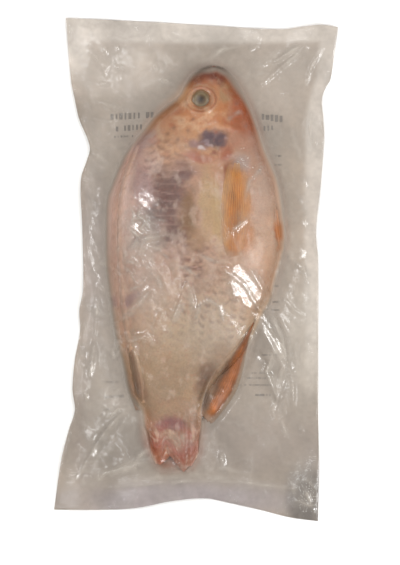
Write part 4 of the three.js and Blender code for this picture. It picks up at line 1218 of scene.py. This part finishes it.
def frontFilmMaterial():
    # clear pouch film: lets the fish show, milks over where frost or air lies behind it, mirrors the lamps;
    # its milk also holds painted highlight and painted shade
    material, tree = startMaterial("clearPouchFilm")
    haze = addNode(tree, "ShaderNodeAttribute", attribute_name="haze")
    clear = addNode(tree, "ShaderNodeBsdfTransparent", in_Color=(1, 1, 1, 1))
    # frost scatters alike whatever the film's slope
    upwards = addNode(tree, "ShaderNodeCombineXYZ", in_Z=1.0)
    milkTint = addNode(tree, "ShaderNodeAttribute", attribute_name="milkTint")
    milk = addNode(tree, "ShaderNodeBsdfDiffuse",
                   [(upwards, "Normal"), (milkTint.outputs["Color"], "Color")])
    veiled = addNode(tree, "ShaderNodeMixShader",
                     [(haze.outputs["Fac"], 0), (clear, 1), (milk, 2)])
    crinkle = objectNoise(tree, 220.0, 4.0, 0.5)
    bump = addNode(tree, "ShaderNodeBump", [(crinkle.outputs["Fac"], "Height")],
                   in_Strength=0.35, in_Distance=0.0005)
    sharp, silky = (addNode(tree, "ShaderNodeBsdfGlossy", [(bump, "Normal")],
                            in_Color=(1, 1, 1, 1), in_Roughness=roughness) for roughness in (0.15, 0.36))
    gloss = addNode(tree, "ShaderNodeMixShader", [(sharp, 1), (silky, 2)], in_0=0.4)
    fresnel = addNode(tree, "ShaderNodeFresnel", [(bump, "Normal")], in_IOR=1.75)
    capped = addNode(tree, "ShaderNodeMath", [(fresnel, 0)], operation="MINIMUM", in_1=0.13)
    shine = addNode(tree, "ShaderNodeAttribute", attribute_name="shine")
    wrinkle = objectNoise(tree, 330.0, 5.0, 0.7)
    patchy = addNode(tree, "ShaderNodeMapRange", [(wrinkle.outputs["Fac"], "Value")],
                     in_From_Min=0.40, in_From_Max=0.60, in_To_Min=0.25, in_To_Max=1.1)
    uneven = addNode(tree, "ShaderNodeMath", [(patchy, 0), (shine.outputs["Fac"], 1)],
                     operation="MULTIPLY")
    dulled = addNode(tree, "ShaderNodeMath", [(capped, 0), (uneven, 1)],
                     operation="MULTIPLY")
    coated = addNode(tree, "ShaderNodeMixShader",
                     [(dulled, 0), (veiled, 1), (gloss, 2)])
    finishMaterial(tree, coated)
    return material


# print and frost

printedLines = [  # start, end, height of the bars, share that is filled
    (-55.4, 100.7, -29, 102, 5.2, 0.95), (44.2, 100.7, 56.1, 99.3, 5.4, 0.95),
    (-52.1, 92.7, -36.3, 94.1, 4.4, 0.9), (40.3, 92.7, 50.2, 93.4, 4.4, 0.9),
    (-53.5, 87.5, -40.9, 88.1, 1.8, 0.75), (-44.9, 82.8, -39.6, 82.8, 1.2, 0.7),
    (52.8, 74.9, 56.1, 74.9, 1.3, 0.8), (52.1, 69, 56.1, 69, 1.3, 0.8),
    (50.2, -10.9, 54.1, -10.9, 1.2, 0.8), (50.8, -21.4, 54.8, -21.4, 1.2, 0.8),
    (50.2, -26.7, 54.8, -26.7, 1.2, 0.8), (43.6, -56.4, 53.5, -56.4, 1, 0.6),
    (37, -68.3, 50.8, -68.3, 1, 0.7), (33.7, -71.6, 48.2, -71.6, 1.1, 0.7),
    (27.7, -76.2, 49.5, -76.2, 1.2, 0.8), (39.6, -82.8, 48.8, -82.8, 1.8, 0.8),
    (-60.7, -74.2, -50.8, -74.2, 1.1, 0.7), (-61.4, -84.2, -48.2, -83.5, 2.6, 0.85),
    (-62, -92.7, -56.1, -92.1, 1.6, 0.8),
]


def makePrint(material):
    group = barTree(material)
    t = np.linspace(0, 1, 12)
    paths = {}
    for startX, startY, endX, endY, height, filled in printedLines:
        xs, ys = startX * (1 - t) + endX * t, startY * (1 - t) + endY * t
        zs, _ = filmBottom(xs, ys)
        paths.setdefault((height, filled), []).append(gridPoints(xs, ys, zs + 0.45))
    for k, ((height, filled), linePaths) in enumerate(paths.items()):
        values = {"Pitch": height * 0.55 * mm, "Bar length": height * 0.45 * mm,
                  "Bar height": height * 0.85 * mm, "Word share": filled, "Seed": 4 + k}
        applyNodeGroup(f"printedLine{k + 1}", pathMesh("linePaths", linePaths), group, values, "print_ink")


frostPlaces = [  # centre, radii, strength
    (30.4, 70.3, 5, 4.5, 0.5), (29.0, 78.9, 8, 6, 0.05), (73.3, -148.8, 9, 14, 0.3),
    (35.6, 65.7, 12, 14, 0.03), (-37.0, 28.7, 10, 14, 0.04),
]


def makeFrost(material):
    x, y, _ = pouchGrid(150, 260)
    weight = sum(strength * spot(x, y, place, 0.3, 1.1) for *place, strength in frostPlaces)
    base = makeMesh("frostSheet", gridPoints(x, y, filmTop(x, y)[0] - 0.75), gridFaces(*x.shape), material,
                    {"frostWeight": weight.ravel()})
    applyNodeGroup("frostGrains", base, crumbTree(material),
                   {"Density": 1400000.0, "Grain": 0.00026, "Seed": 7}, "frost")


# build

# wet scaled skin, frozen: a tint painted along the fish, a soft shine and a little light under the surface
makeFish(surfaceMaterial("wetScaledSkin", "skinTint", 0.42, (900, 3, 0.6), 0.28, under=0.12, bump=0.25))
# frozen eye: clouded lens over a dull olive iris, still glossy
makeEye(surfaceMaterial("cloudyEye", "skinTint", 0.3, contrast=0))
print("fish body and eye done")

# thin fin web between its rays: the painted tint, wet shine
finWeb = surfaceMaterial("finWeb", "skinTint", 0.45, (700, 2, 0.5), 0.25, under=0.03)
# horny fin rays, wet
goldRays = rayTree(surfaceMaterial("goldenFinRays", "#b07c3e", 0.45))
paleRays = rayTree(surfaceMaterial("paleFinRays", "#a5846e", 0.45))
rustRays = rayTree(surfaceMaterial("rustFinRays", "#74421c", 0.45))
makeLeafFin("pectoralFin", finWeb, goldRays, dict(
    rays=8, rod=0.00016, cover=0.9, middle="#8a4f10", side="#8e6436", fade=(0.7, 0.1), heart=0))
makeLeafFin("pelvicFin", finWeb, paleRays, dict(
    rays=3, rod=0.00014, cover=0.7, middle="#9c5a1e", side="#a0683a", fade=(0.0, 0.3), heart=0))
makeLeafFin("analFin", finWeb, rustRays, dict(
    rays=8, rod=0.00016, cover=0.97, middle="#8c4800", side="#4a2c10", fade=(0.3, 0.6), heart=0.3))
makeLeafFin("softDorsalFin", finWeb, rustRays, dict(
    rays=4, rod=0.00014, cover=0.6, middle="#5f432f", side="#7a5c46", fade=(0.1, 0.1), heart=0))
makeDorsalFin(finWeb, paleRays)
print("fins done")

# polythene and polyamide film with frost on its inner face: dull grey-beige, softly shining
backFilm = makeBackFilm(surfaceMaterial("frostedBackFilm", "filmTint", 0.38, (320, 4, 0.5), 0.18))
# flat printing ink
makePrint(surfaceMaterial("greyInk", "#5d5650", 0.6))
# frost and ice glaze
makeFrost(surfaceMaterial("frostGrain", "#d9d6d2", 0.35))
frontFilm = makeFrontFilm(frontFilmMaterial())
print("film, print and frost done")

for item, slotName in pieces:
    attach(item, "root")
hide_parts("vacuum_pouch")
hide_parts("vacuum_pouch")


# stage, light and camera

def makeFloor():
    # pale paper under the pack
    half = 3000
    corners = [(-half, -half, 0), (half, -half, 0), (half, half, 0), (-half, half, 0)]
    material, tree = startMaterial("palePaperFloor")
    shader = addNode(tree, "ShaderNodeBsdfPrincipled", in_Base_Color=(*linear("#f4f3f1"), 1),
                     in_Roughness=0.9)
    finishMaterial(tree, shader)
    makeMesh("studioFloor", corners, [(0, 1, 2, 3)], material)


def makeLamp(name, place, target, size, power, mirrored=True):
    lamp = bpy.data.lights.new(name, "AREA")
    lamp.shape, lamp.size, lamp.size_y = "RECTANGLE", size[0], size[1]
    lamp.energy = power
    item = linkItem(name, lamp)
    item.location = place
    item.rotation_euler = (Vector(target) - Vector(place)).to_track_quat("-Z", "Y").to_euler()
    item.visible_glossy = mirrored  # a fill panel lights the scene without a patch of glare in the film


def makeCamera():
    # straight down from far above, so that the pack shows as flat as in the photo
    camera = bpy.data.cameras.new("photoCamera")
    distance, frameHeight = 10.0, 0.3729
    camera.sensor_width = 36
    camera.lens = camera.sensor_width * distance / frameHeight
    item = linkItem("photoCamera", camera)
    item.location = (0.00264, -0.00858, distance)
    bpy.context.scene.camera = item


makeFloor()
makeLamp("fillPanel", (0.0, 0.3, 1.8), (0, 0, 0), (2.4, 2.4), 28.5, mirrored=False)
makeLamp("windowRight", (0.948, -0.316, 0.902), (0.035, -0.012, 0.028), (0.36, 0.52), 11)
makeLamp("windowLeft", (-0.9, 0.05, 0.85), (0, 0, 0.02), (0.2, 0.24), 3.5)
makeLamp("windowTop", (0.08, 1.0, 0.9), (0, 0, 0.02), (0.14, 0.1), 1.2)
makeLamp("ceilingLeft", (-0.3, 0.25, 1.5), (0, 0, 0.02), (0.3, 0.5), 2.6)
makeLamp("ceilingPatch", (-0.5, -0.28, 1.4), (0, 0, 0.02), (0.3, 0.5), 2.5)
makeCamera()
world = bpy.data.worlds.new("softStudio")
world.use_nodes = True
world.node_tree.nodes["Background"].inputs[0].default_value = (1.0, 0.98, 0.95, 1)
world.node_tree.nodes["Background"].inputs[1].default_value = 0.3
bpy.context.scene.world = world
bpy.context.scene.view_settings.view_transform = "Standard"
print("stage, lamps and camera done")
